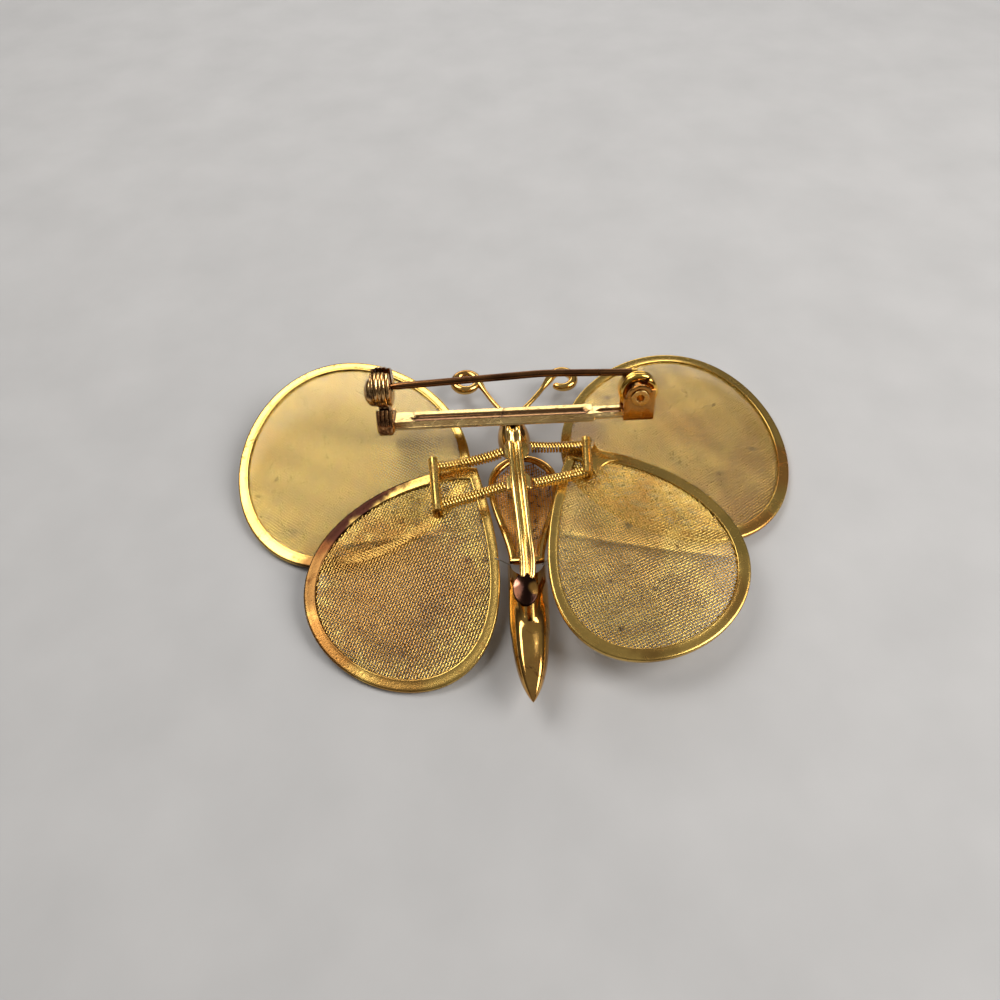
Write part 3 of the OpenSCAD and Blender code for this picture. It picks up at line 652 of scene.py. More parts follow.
class Effects:
    """Shader node groups that the finishes share, each built once."""

    def __init__(self) -> None:
        """Builds the groups."""
        patches = {"Scale": 300.0, "Low": 0.45, "High": 0.7, "Warp": 0.6}
        self.patches = self._group("patches", patches, "Mask")
        self._fill_patches()
        self.grain = self._group("grain", {"Scale": 4000.0, "Pits": 0.5}, "Height")
        self._fill_grain()
        self.specks = self._group("specks", {"Scale": 420.0, "Size": 0.16, "Share": 0.5}, "Mask")
        self._fill_specks()
        spot = {"Centre": (0.0, 0.0, 0.0), "Radius": 0.001, "Ragged": 0.4}
        self.spot = self._group("spot", spot, "Mask")
        self._fill_spot()

    @staticmethod
    def _group(name: str, inputs: dict[str, object], output: str) -> Tree:
        """Makes an empty group that takes a vector and named values.

        Args:
            name: The group's name.
            inputs: Names of its inputs with their usual values.
            output: Name of its one output.

        Returns:
            The group, wrapped.
        """
        tree = bpy.data.node_groups.new(name, "ShaderNodeTree")
        tree.interface.new_socket(name="Vector", in_out="INPUT", socket_type="NodeSocketVector")
        for key, value in inputs.items():
            kind = "NodeSocketVector" if isinstance(value, tuple) else "NodeSocketFloat"
            tree.interface.new_socket(name=key, in_out="INPUT", socket_type=kind).default_value = value
        tree.interface.new_socket(name=output, in_out="OUTPUT", socket_type="NodeSocketFloat")
        return Tree(tree)

    def _fill_patches(self) -> None:
        """Cloudy patches: two sizes of noise, where the coarse one carries the fine one along."""
        t = self.patches
        given = t.node("NodeGroupInput").outputs
        noise = t.node("ShaderNodeTexNoise", Vector=given["Vector"], Scale=given["Scale"],
                       Detail=5.0, Roughness=0.62, Distortion=given["Warp"])
        t.node("NodeGroupOutput", Mask=t.ramp(noise.outputs["Fac"], given["Low"], given["High"]))

    def _fill_grain(self) -> None:
        """Fine grain with small round pits in it."""
        t = self.grain
        given = t.node("NodeGroupInput").outputs
        fine = t.node("ShaderNodeTexNoise", Vector=given["Vector"], Scale=given["Scale"],
                      Detail=4.0, Roughness=0.7)
        size = t.math("MULTIPLY", given["Scale"], 0.45)
        pits = t.node("ShaderNodeTexVoronoi", {"feature": "F1"}, Vector=given["Vector"], Scale=size)
        dip = t.ramp(pits.outputs["Distance"], 0.1, 0.34)
        share = t.math("MULTIPLY", t.math("SUBTRACT", dip, 1.0), given["Pits"])
        t.node("NodeGroupOutput", Height=t.math("ADD", fine.outputs["Fac"], share))

    def _fill_specks(self) -> None:
        """Small round specks, one in some of the cells of a cell pattern, each of its own size."""
        t = self.specks
        given = t.node("NodeGroupInput").outputs
        cells = t.node("ShaderNodeTexVoronoi", {"feature": "F1"}, Vector=given["Vector"],
                       Scale=given["Scale"])
        chance = t.node("ShaderNodeSeparateColor", _0=cells.outputs["Color"])
        chosen = t.math("LESS_THAN", chance.outputs[0], given["Share"])
        size = t.math("MULTIPLY", given["Size"], t.math("ADD", chance.outputs[1], 0.35))
        near = t.math("SUBTRACT", 1.0, t.math("DIVIDE", cells.outputs["Distance"], size), clamp=True)
        mask = t.math("MULTIPLY", t.ramp(near, 0.05, 0.5), chosen)
        t.node("NodeGroupOutput", Mask=mask)

    def _fill_spot(self) -> None:
        """A round spot with a ragged border."""
        t = self.spot
        given = t.node("NodeGroupInput").outputs
        offset = t.node("ShaderNodeVectorMath", {"operation": "DISTANCE"}, _0=given["Vector"],
                        _1=given["Centre"])
        share = t.math("DIVIDE", offset.outputs["Value"], given["Radius"])
        noise = t.node("ShaderNodeTexNoise", Vector=given["Vector"], Scale=900.0, Detail=3.0)
        wave = t.math("MULTIPLY", t.math("SUBTRACT", noise.outputs["Fac"], 0.5), given["Ragged"])
        made = t.ramp(t.math("ADD", share, wave), 0.55, 1.05, 1.0, 0.0)
        t.node("NodeGroupOutput", Mask=made)


@dataclass(frozen=True)
class Spot:
    """A stained or worn place, or a spot of painted shade, given in the frame's millimetres."""

    centre: Triple
    radius: float
    colour: Colour
    amount: float = 0.8
    ragged: float = 0.6


@dataclass(frozen=True)
class Plating:
    """Aged gold-tone plating: a base tone with blushes, tarnish, worn edges and grain, with painted
    shade and tarnish in its recesses.

    Scales are cycles per metre, and lengths are metres.
    """

    name: str
    base: Colour
    blush: Colour
    tarnish: Colour
    roughness: tuple[float, float] = (0.22, 0.42)
    blush_scale: float = 130.0
    blush_range: tuple[float, float] = (0.42, 0.68)
    tarnish_scale: float = 520.0
    tarnish_range: tuple[float, float] = (0.55, 0.75)
    grain_scale: float = 5200.0
    grain_height: float = 0.00002
    grain_strength: float = 0.35
    pits: float = 0.5
    edge: float = 0.0
    edge_gain: float = 5.0
    worn: Colour = PALE_GOLD
    # Reach and amount of the painted shade, with tarnish, that ambient occlusion lays in recesses
    shade_and_tarnish: float = 0.0
    shade_and_tarnish_amount: float = 0.7
    specks: float = 0.0
    speck_scale: float = 520.0
    speck_size: float = 0.2
    spots: tuple[Spot, ...] = ()

    def material(self, effects: Effects) -> bpy.types.Material:
        """Builds the finish as a material.

        Args:
            effects: The shared node groups.

        Returns:
            The material.
        """
        made = bpy.data.materials.new(self.name)
        made.use_nodes = True
        made.node_tree.nodes.clear()
        t = Tree(made.node_tree)
        place = t.node("ShaderNodeTexCoord").outputs["Object"]
        blush = self._group(t, effects.patches, Vector=place, Scale=self.blush_scale,
                            Low=self.blush_range[0], High=self.blush_range[1], Warp=0.8)
        dull = self._group(t, effects.patches, Vector=place, Scale=self.tarnish_scale,
                           Low=self.tarnish_range[0], High=self.tarnish_range[1], Warp=1.6)
        colour = t.mix(blush, self.base, self.blush)
        colour = t.mix(dull, colour, self.tarnish)
        if self.specks:
            mask = self._group(t, effects.specks, Vector=place, Scale=self.speck_scale,
                               Size=self.speck_size, Share=self.specks)
            colour = t.mix(t.math("MULTIPLY", mask, 0.7), colour, self.tarnish)
        for spot in self.spots:
            mask = self._group(t, effects.spot, Vector=place, Centre=tuple(c * MM for c in spot.centre),
                               Radius=spot.radius * MM, Ragged=spot.ragged)
            colour = t.mix(t.math("MULTIPLY", mask, spot.amount), colour, spot.colour)
        height = self._group(t, effects.grain, Vector=place, Scale=self.grain_scale, Pits=self.pits)
        bump = t.node("ShaderNodeBump", Strength=self.grain_strength, Distance=self.grain_height,
                      Height=height)
        if self.edge:
            rounded = t.node("ShaderNodeBevel", {"samples": 6}, Radius=self.edge)
            t.put(bump.inputs["Normal"], rounded.outputs["Normal"])
            flat = t.node("ShaderNodeNewGeometry").outputs["True Normal"]
            turn = t.node("ShaderNodeVectorMath", {"operation": "DOT_PRODUCT"},
                          _0=rounded.outputs["Normal"], _1=flat)
            bend = t.math("SUBTRACT", 1.0, turn.outputs["Value"])
            mask = t.math("MULTIPLY", bend, self.edge_gain, clamp=True)
            colour = t.mix(mask, colour, self.worn)
        # Painted shade, with tarnish: ambient occlusion darkens recesses toward the tarnish colour.
        if self.shade_and_tarnish:
            shut = t.node("ShaderNodeAmbientOcclusion", {"samples": 6}, Distance=self.shade_and_tarnish)
            mask = t.ramp(shut.outputs["AO"], 0.25, 0.85, 1.0, 0.0)
            mask = t.math("MULTIPLY", mask, self.shade_and_tarnish_amount)
            colour = t.mix(mask, colour, self.tarnish)
        low, high = self.roughness
        rough = t.node("ShaderNodeMapRange", _0=dull, _3=low, _4=high)
        shader = t.node("ShaderNodeBsdfPrincipled", Base_Color=colour, Metallic=1.0,
                        Roughness=rough.outputs[0], Normal=bump.outputs["Normal"])
        t.node("ShaderNodeOutputMaterial", Surface=shader.outputs["BSDF"])
        return made

    @staticmethod
    def _group(t: Tree, group: Tree, **inputs: object) -> bpy.types.NodeSocket:
        """Places a shared group in a material.

        Args:
            t: The material's tree.
            group: The group.
            **inputs: Values or sockets for the group's inputs.

        Returns:
            The group's output socket.
        """
        made = t.node("ShaderNodeGroup", {"node_tree": group.tree}, **inputs)
        return made.outputs[0]


RIM_STAINS_AND_SHADE = (
    Spot((-18.6, -1.8, 2.9), 3.4, PURPLE_BROWN, 1.0),
    Spot((-16.4, 1.4, 3.6), 3.4, PURPLE_BROWN, 1.0),
    Spot((-14.8, 2.7, 3.9), 3.2, PURPLE_BROWN, 1.0),
    Spot((-12.4, 4.2, 4.2), 3.0, tone(60, 32, 22), 0.95),
    Spot((-10.2, 5.2, 4.4), 1.8, BRONZE),
    # Painted shade: these three spots darken the outer rims of the left wings low near the floor, where
    # their side faces lie in shade.
    Spot((-19.9, -6.4, 2.0), 4.6, tone(84, 50, 26), 0.9),
    Spot((-17.9, -13.0, 0.9), 4.4, tone(124, 70, 30)),
    Spot((-11.4, -16.7, 0.5), 3.2, tone(150, 96, 44), 0.55),
    Spot((18.2, 2.7, 4.7), 2.4, tone(120, 96, 52), 0.6),
    Spot((20.8, -5.5, 4.0), 3.0, OLIVE_GOLD, 0.6),
    Spot((18.1, -11.6, 3.7), 3.0, tone(150, 100, 46), 0.5),
    Spot((10.6, -14.5, 3.6), 3.4, tone(128, 88, 42), 0.6),
    Spot((28.1, 4.9, 0.6), 3.6, COPPER, 0.5),
    Spot((24.3, -3.1, 0.8), 3.0, COPPER, 0.45),
    Spot((-26.2, 1.9, 0.9), 2.6, tone(206, 150, 70), 0.5),
    Spot((12.8, 6.4, 5.1), 1.4, PALE_GOLD, 0.5),
)
GAUZE_SPOTS = (
    Spot((-17.5, 8.5, 2.0), 13.5, tone(200, 172, 102), 0.8, 0.8),
    Spot((-12.0, -8.5, 2.2), 9.5, tone(176, 124, 62), 0.75, 1.0),
    Spot((-8.64, -10.9, 1.6), 1.7, tone(110, 70, 40), 0.35, 1.2),
    Spot((-7.4, -9.3, 1.8), 0.4, tone(70, 40, 26), 0.6),
    Spot((13.78, -10.82, 3.8), 2.3, tone(128, 88, 52), 0.3, 1.2),
    Spot((-11.2, -14.2, 0.9), 0.35, BRONZE, 0.5),
    Spot((-13.9, -11.6, 1.2), 0.35, BRONZE, 0.5),
    Spot((20.1, 9.4, 2.2), 3.0, tone(196, 150, 82), 0.35, 1.2),
)
PAD_SPOTS = (
    Spot((0.95, -10.3, 4.5), 0.7, tone(214, 160, 84)),
    Spot((-0.75, -9.6, 4.5), 0.6, tone(196, 140, 118), 0.6),
)

FINISHES = {
    "rim": Plating(
        "rim_gold", tone(218, 180, 98), tone(196, 162, 88), tone(132, 92, 46),
        roughness=(0.24, 0.42), tarnish_scale=700.0, spots=RIM_STAINS_AND_SHADE),
    "gauze": Plating(
        "gauze_gold", tone(236, 204, 116), tone(214, 172, 92), tone(92, 56, 32),
        roughness=(0.26, 0.42), tarnish_scale=1900.0, tarnish_range=(0.56, 0.72), grain_strength=0.1,
        specks=0.55, spots=GAUZE_SPOTS),
    # Painted shade: a browner copy of the gauze finish with darker tarnish, for the thorax dome that
    # lies in shade.
    "thorax_gauze": Plating(
        "thorax_gauze_gold", tone(240, 180, 92), tone(176, 112, 54), DARK_BRONZE,
        roughness=(0.28, 0.45), tarnish_scale=900.0, tarnish_range=(0.5, 0.7), grain_strength=0.1),
    "spring": Plating(
        "spring_gold", tone(238, 204, 120), tone(206, 162, 84), tone(120, 82, 42),
        roughness=(0.16, 0.3), grain_strength=0.1),
    "stem": Plating(
        "stem_gold", tone(250, 216, 128), tone(232, 182, 108), tone(150, 100, 60),
        roughness=(0.18, 0.32), tarnish_range=(0.62, 0.8), shade_and_tarnish=0.0006),
    "pad": Plating(
        "pad_bronze", tone(84, 54, 38), tone(48, 30, 26), DARK_BRONZE,
        roughness=(0.18, 0.34), grain_strength=0.3, spots=PAD_SPOTS),
    "body": Plating(
        "body_gold", tone(222, 178, 98), tone(196, 142, 76), tone(96, 60, 34),
        roughness=(0.12, 0.26), grain_strength=0.2, shade_and_tarnish=0.0009),
    "bar": Plating(
        "bar_champagne", tone(240, 206, 140), tone(206, 166, 104), tone(132, 94, 56),
        roughness=(0.24, 0.42), tarnish_range=(0.58, 0.76), grain_scale=3200.0, grain_strength=0.7,
        pits=1.0, shade_and_tarnish=0.0006),
    "pin": Plating(
        "pin_bronze", tone(128, 86, 50), tone(92, 58, 36), DARK_BRONZE,
        roughness=(0.22, 0.36), grain_strength=0.3),
    "coil": Plating(
        "coil_gold", tone(244, 198, 96), tone(226, 164, 72), tone(140, 88, 40),
        roughness=(0.14, 0.28), grain_strength=0.25, shade_and_tarnish=0.0005),
    "catch": Plating(
        "catch_bronze", tone(220, 176, 118), tone(170, 116, 74), tone(58, 34, 24),
        roughness=(0.18, 0.34), tarnish_scale=800.0, tarnish_range=(0.48, 0.66), grain_strength=0.4,
        shade_and_tarnish=0.0007),
    # Painted shade: a darker copy of the bar's finish for the faces inside its grooves.
    "groove": Plating(
        "bar_groove", tone(150, 112, 72), tone(110, 72, 56), tone(60, 38, 32),
        roughness=(0.2, 0.36), blush_scale=70.0, grain_strength=0.5, shade_and_tarnish=0.0005),
    "ear": Plating(
        "ear_copper", tone(196, 138, 68), tone(170, 110, 54), tone(110, 68, 36),
        roughness=(0.24, 0.4), grain_strength=0.5, shade_and_tarnish=0.0006),
    "wire": Plating(
        "grey_wire", tone(150, 146, 140), tone(128, 122, 116), tone(90, 84, 78),
        roughness=(0.3, 0.45), grain_strength=0.1),
    "rivet": Plating(
        "rivet_gold", tone(214, 168, 96), tone(190, 136, 74), tone(110, 68, 36),
        roughness=(0.2, 0.36), edge=0.00008, grain_strength=0.3),
}


# Wings

GAUZE_INSET = 0.74
GAUZE_STEPS = 120
RIM_STEPS = 168
# Inset and height of each point round the rim's section
RIM_PROFILE = (
    (0.00, -0.17), (0.00, 0.14), (0.03, 0.21), (0.08, 0.26), (0.15, 0.285), (0.24, 0.29), (0.4, 0.285),
    (0.6, 0.28), (0.8, 0.28), (0.92, 0.29), (0.99, 0.3), (1.05, 0.29), (1.09, 0.25), (1.1, 0.19),
    (1.08, 0.14), (0.62, 0.14), (0.62, -0.14), (1.04, -0.14), (1.1, -0.16), (1.1, -0.24), (1.02, -0.3),
    (0.08, -0.3), (0.02, -0.26),
)


@dataclass
class Weave:
    """Plain weave of two sets of thin wires that cross over and under each other."""

    pitch: float = 0.254
    wire: float = 0.12
    rise: float = 0.05
    drift: float = 0.035
    shake: float = 0.012

    def lay(
        self, surface: Surface, angles: tuple[float, float], outline: Array,
        height: Callable[[Array, Array], Array], place: Placing,
    ) -> None:
        """Weaves a panel inside an outline.

        Crossing (k, m) lies where the normal of the first set reaches k pitches and the normal of the
        second set m pitches. One set lies high and the other low there, by turns. The crossings
        drift in slow waves and shake a little, as in a real cloth.

        Args:
            surface: Takes the wires.
            angles: Directions of the two sets' normals, in degrees.
            outline: Closed outline of the panel.
            height: Height of the panel's middle at flat points, given their distance from the outline.
            place: Moves the panel's points to the maker's frame.
        """
        normals = np.array([(math.cos(math.radians(a)), math.sin(math.radians(a))) for a in angles])
        reach = int(np.linalg.norm(outline, axis=1).max() / self.pitch) + 3
        k, m = np.meshgrid(np.arange(-reach, reach + 1), np.arange(-reach, reach + 1), indexing="ij")
        flat = np.stack((k, m), -1) @ np.linalg.inv(normals).T * self.pitch
        shake = self.shake * np.sin(k * 2.1 + m * 0.7)
        flat += self.drift * np.sin(flat[..., ::-1] * (1.7, 2.3) + (0.4, 1.9)) + shake[..., None]
        deep = edge_distance(flat.reshape(-1, 2), outline).reshape(k.shape)
        middle = height(flat, deep)
        inside = deep > 0
        swing = np.where((k + m) % 2 == 0, self.rise, -self.rise)
        self._strands(surface, np.dstack((flat, middle + swing)), inside, normals[0], place)
        turned_over = np.dstack((flat, middle - swing)).transpose(1, 0, 2)
        self._strands(surface, turned_over, inside.T, normals[1], place)

    def _strands(
        self, surface: Surface, nodes: Array, inside: Array, across: Array, place: Placing
    ) -> None:
        """Makes one set of wires, four-sided tubes that run along the second axis of the nodes.

        Args:
            surface: Takes the wires.
            nodes: Array of wires by crossings by 3.
            inside: Which crossings lie in the panel.
            across: Flat direction across the wires.
            place: Moves the panel's points to the maker's frame.
        """
        angle = np.radians((0, 90, 180, 270))
        ring = spread(across[0] * np.cos(angle), across[1] * np.cos(angle), np.sin(angle))
        points = nodes[:, :, None] + ring * (self.wire / 2)
        index = np.arange(nodes.shape[0] * nodes.shape[1] * 4).reshape(*nodes.shape[:2], 4)
        here, there = index[:, :-1], index[:, 1:]
        sides = np.stack((here, np.roll(here, -1, -1), np.roll(there, -1, -1), there), -1)
        runs = inside[:, :-1] & inside[:, 1:]
        no = np.zeros((len(inside), 1), bool)
        starts = np.hstack((runs, no)) & ~np.hstack((no, runs))
        ends = np.hstack((no, runs)) & ~np.hstack((runs, no))
        quads = np.concatenate((sides[runs].reshape(-1, 4), index[starts][:, ::-1], index[ends]))
        used, back = np.unique(quads, return_inverse=True)
        surface.add(place(points.reshape(-1, 3)[used]), back.reshape(-1, 4))


@dataclass(frozen=True)
class Wing:
    """Place of one wing, its weave and the crease pressed into its panel."""

    side: Side
    tier: Tier
    shape: Drop
    root: Triple
    heading: float
    pitch: float
    droop: float
    weave: tuple[float, float]
    crease: tuple[tuple[float, float], ...] = ()
    crease_height: float = 0.15
    crease_reach: float = 0.4
    crease_bow: float = 0.24
    fan: float = 0.05
    swell: float = 0.07
    ripple: float = 0.02
    fade: float = 1.6

    @property
    def title(self) -> str:
        """Name of the wing's pair and side.

        Returns:
            The name, such as upper_left.
        """
        return f"{self.tier.value}_{self.side.name.lower()}"

    def place(self, points: Array) -> Array:
        """Moves points from the wing's own frame to the maker's frame.

        Args:
            points: Array whose last axis is 3 long.

        Returns:
            The moved points.
        """
        side = self.side.value
        own = turned(points * (1, -side, 1), (0, 0, self.heading))
        return np.asarray(self.root) + turned(own, (self.pitch, side * self.droop, 0))

    def height(self, flat: Array, deep: Array) -> Array:
        """Height of the panel: ridges that fan out from the root, soft waves and the pressed crease.

        The ridges are fan cos(9 angle) u / length, the swell and the ripple are sines of u and v, and
        the crease falls off as exp(-distance / reach) beside a line that bows to one side.

        Args:
            flat: Flat points of the panel.
            deep: Their distances from its edge.

        Returns:
            Heights that fade to nothing at the edge.
        """
        u, v = flat[..., 0], flat[..., 1]
        total = self.fan * np.cos(9 * np.arctan2(v, u)) * u / self.shape.length
        wave = self.swell * np.sin(0.4 * u + 1.3) * np.sin(0.38 * v + 0.4)
        total = total + (wave + self.ripple * np.sin(1.1 * u - 0.9 * v))
        if self.crease:
            start, end = np.asarray(self.crease)
            step = end - start
            share = np.clip(((flat - start) @ step) / (step @ step), 0, 1)
            aside = np.array((-step[1], step[0])) / np.linalg.norm(step)
            bow = self.crease_bow * np.sin(np.pi * share)[..., None] * aside
            far = np.linalg.norm(flat - start - share[..., None] * step - bow, axis=-1)
            total = total + self.crease_height * np.exp(-far / self.crease_reach)
        return total * smoothstep(0, self.fade, deep)

    def rim(self, surface: Surface) -> None:
        """Adds the rim: a band with two rolled lips, whose profile follows the drop's insets.

        Args:
            surface: Takes the rim.
        """
        inset, level = np.asarray(RIM_PROFILE).T
        flat = self.shape.outline(inset, RIM_STEPS)
        points = spread(flat[..., 0], flat[..., 1], level)
        surface.grid(self.place(points), rows_close=True, columns_close=True)


# Length, half width, the two pinches, lean, and how far the root moves for each step of the inset
LOWER_DROP = Drop(23.4, 11.8, 0.53, 1.05, -0.01, 1.35)
UPPER_DROP = Drop(25.9, 12.8, 0.28, 0.07, 0.1, 1.0)

WINGS = (
    Wing(Side.LEFT, Tier.UPPER, UPPER_DROP, (-4.9, 11.85, 3.4), 152.6, 9.3, 6.8, (80.1, 173.0)),
    Wing(Side.LEFT, Tier.LOWER, LOWER_DROP, (-3.8, 13.35, 4.29), -118.5, 10.2, 2.1, (-1.7, 92.7),
         ((14.07, -10.2), (6.4, 3.1))),
    Wing(Side.RIGHT, Tier.UPPER, UPPER_DROP, (5.3, 12.1, 4.3), 27.6, 2.9, 9.9, (82.2, 173.1)),
    Wing(Side.RIGHT, Tier.LOWER, LOWER_DROP, (5.5, 14.65, 5.0), -67.7, 4.1, 1.3, (-0.1, 93.0),
         ((8.6, 4.9), (17.4, -8.3))),
)


@dataclass(frozen=True)
class Bracket:
    """Channel and star plate that join a pair of wings to their springs.

    The plate's middle lies across and along from the channel's, and star is its size over two tips.
    """

    side: Side
    middle: Triple
    heading: float
    roll: float
    length: float
    across: float
    along: float
    star: float
    width: float = 1.0
    height: float = 1.5
    wall: float = 0.22
    star_thick: float = 0.36
    star_waist: float = 0.33
    mouth: float = 0.49
    flare: float = 0.06

    def place(self, points: Array) -> Array:
        """Moves points from the bracket's own frame to the maker's frame.

        Args:
            points: Array whose last axis is 3 long.

        Returns:
            The moved points.
        """
        return np.asarray(self.middle) + turned(points * (self.side.value, 1, 1), (0, 0, self.heading))

    def channel(self, surface: Surface) -> None:
        """Adds the channel: a tall oval tube, open toward the body, with flared ends.

        Args:
            surface: Takes the channel.
        """
        flat = (self.height - self.width) / 2
        rings = []
        for radius in (self.width / 2, self.width / 2 - self.wall):
            end = np.pi - math.asin(min(1.0, (self.mouth - flat) / radius))
            a = np.linspace(end, -end, 40)
            straight = np.where(a > 0, flat, -flat)
            rings.append((radius * np.cos(a), radius * np.sin(a) + straight))
        y = np.linspace(-0.5, 0.5, 25)[:, None]
        flare = 1 + self.flare * smoothstep(0.4, 0.5, np.abs(y))
        outer, inner = [self.place(spread(flare * x, self.length * y, flare * z)) for x, z in rings]
        surface.shell(outer, inner)

    def plate(self, surface: Surface) -> None:
        """Adds the star plate: four points joined by hollow sides that sag inward as parabolas.

        Args:
            surface: Takes the plate.
        """
        reach = self.star / 2
        s = np.linspace(0, 1, 14, endpoint=False)[:, None]
        sag = (reach - self.star_waist * self.star) / math.sqrt(2) * 4 * s * (1 - s)
        sides = []
        for a in np.radians((0, 90, 180, 270)):
            tip = reach * np.array((np.cos(a), np.sin(a)))
            after = reach * np.array((-np.sin(a), np.cos(a)))
            sides.append(tip + (after - tip) * s - unit(tip + after) * sag)
        base = -self.height / 2 + self.star_thick / 2

        def place(points: Array) -> Array:
            """Moves points of the plate to the maker's frame.

            Args:
                points: Array whose last axis is 3 long.

            Returns:
                The moved points.
            """
            rolled = turned(points + (self.across, self.along, 0), (0, self.roll, 0))
            return self.place(rolled + (0, 0, base))

        surface.plate(np.concatenate(sides), self.star_thick, rounding=0.1, dome=0.06, place=place)


BRACKETS = (
    Bracket(Side.LEFT, (-7.8, 10.3, 5.55), 4.6, 62, 6.4, 0.3, 1.7, 3.0),
    Bracket(Side.RIGHT, (7.1, 12.75, 5.8), -4.6, 3, 4.4, 0.9, 0.3, 4.6),
)


@dataclass
class WingPair:
    """The two wings of one side, soldered to each other and to their bracket.

    Each lump of solder has a middle, three radii and the phase of its waves.
    """

    side: Side
    solder: tuple[tuple[Triple, Triple, float], ...]

    def build(self, finishes: Finishes) -> None:
        """Builds the frame and the two woven panels of this side.

        Args:
            finishes: Materials by name.
        """
        name = self.side.name.lower()
        frame = Surface()
        for wing in (w for w in WINGS if w.side is self.side):
            wing.rim(frame)
            panel = Surface()
            outline = wing.shape.outline(GAUZE_INSET, GAUZE_STEPS)
            Weave().lay(panel, wing.weave, outline, wing.height, wing.place)
            piece = panel.build(f"woven_{wing.title}", finishes["gauze"], crisp=None)
            dress(piece, f"{name}_wings", f"gauze_{wing.title}")
        for bracket in (b for b in BRACKETS if b.side is self.side):
            bracket.channel(frame)
            bracket.plate(frame)
        for middle, radii, seed in self.solder:
            frame.lump(middle, radii, seed)
        piece = frame.build(f"{name}_rims_and_bracket", finishes["rim"])
        dress(piece, f"{name}_wings", f"wing_frame_{name}")


WING_PAIRS = (
    WingPair(Side.LEFT, (((-5.2, 12.8, 3.85), (0.62, 0.6, 0.55), 0.4),)),
    WingPair(Side.RIGHT, (((5.5, 13.4, 4.7), (0.62, 0.6, 0.5), 1.3),)),
)


def dress(piece: bpy.types.Object, body: str, node: str) -> None:
    """Lets a piece ride on a body in the place of a node.

    Args:
        piece: The new piece.
        body: Body that it moves with.
        node: Node that it stands for.
    """
    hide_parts(node)
    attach(piece, body)


# Springs

ANCHOR_AT = (0.24, 11.85, 6.1)
ANCHOR_WIDTH = 2.36
SEAM = 0.03


@dataclass(frozen=True)
class Spring:
    """A close-wound coil spring between the anchor and a bracket."""

    side: Side
    tier: Tier
    inner_y: float
    outer: Triple
    sag: float
    diameter: float = 1.15
    wire: float = 0.24
    pitch: float = 0.3
    swell: float = 0.03
    stray: float = 0.05
    turn_steps: int = 20
    wire_sides: int = 7

    def build(self, finishes: Finishes) -> None:
        """Winds the spring: wire along a helix about a line that sags as a parabola.

        The coil's radius swells and its line strays a little, as sines of the way along it.

        Args:
            finishes: Materials by name.
        """
        side = self.side.value
        reach = ANCHOR_WIDTH / 2 + SEAM + self.wire / 2 + 0.1 * self.diameter
        inner = np.array((ANCHOR_AT[0] + side * reach, self.inner_y, ANCHOR_AT[2]))
        outer = np.array(self.outer)
        along = unit(outer - inner)
        across = unit(np.cross((0, 0, 1), along))
        above = np.cross(along, across)
        turns = round(np.linalg.norm(outer - inner) / self.pitch)
        s = np.linspace(0, 1, turns * self.turn_steps + 1)[:, None]
        a = 2 * np.pi * turns * s
        radius = (self.diameter - self.wire) / 2 * (1 + self.swell * np.sin(7.3 * s + self.inner_y))
        out = across * np.cos(a) + above * np.sin(a)
        middle = inner + (outer - inner) * s - np.array((0, 0, self.sag)) * 4 * s * (1 - s)
        wave = self.stray * np.sin(9.5 * s + self.inner_y) * s * (1 - s)
        surface = Surface()
        surface.tube(middle + out * radius + across * wave, self.wire / 2, self.wire_sides, along)
        name = f"{self.tier.value}_{self.side.name.lower()}"
        piece = surface.build(f"coil_{name}", finishes["spring"], crisp=None)
        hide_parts(f"spring_{name}")
        start, end = in_frame(inner), in_frame(outer)
        tuple(start)
        tuple(end)
        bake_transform(piece)


SPRINGS = (
    Spring(Side.LEFT, Tier.UPPER, 13.76, (-7.85, 12.8, 5.55), 0.36),
    Spring(Side.LEFT, Tier.LOWER, 9.5, (-7.5, 8.0, 5.55), 0.12),
    Spring(Side.RIGHT, Tier.UPPER, 14.3, (7.15, 14.35, 5.8), 0.12),
    Spring(Side.RIGHT, Tier.LOWER, 9.7, (6.95, 11.1, 5.8), 0.12),
)


# Stem, with its anchor and pad

BAR = Seat((0.0, 17.53, 7.54), (-14.0, -0.9, -1.25))

# Across and above the middle line, for each point of the strip's section, as shares of its half sizes
STRIP_SECTION = (
    (-0.95, -1.0), (-0.3, -1.0), (0.3, -1.0), (0.95, -1.0), (1.0, -0.75), (1.0, 0.2), (0.94, 0.62),
    (0.8, 0.9), (0.6, 1.0), (0.42, 0.88), (0.25, 0.45), (0.1, 0.05), (0.0, -0.05), (-0.1, 0.05),
    (-0.25, 0.45), (-0.42, 0.88), (-0.6, 1.0), (-0.8, 0.9), (-0.94, 0.62), (-1.0, 0.2), (-1.0, -0.75),
)


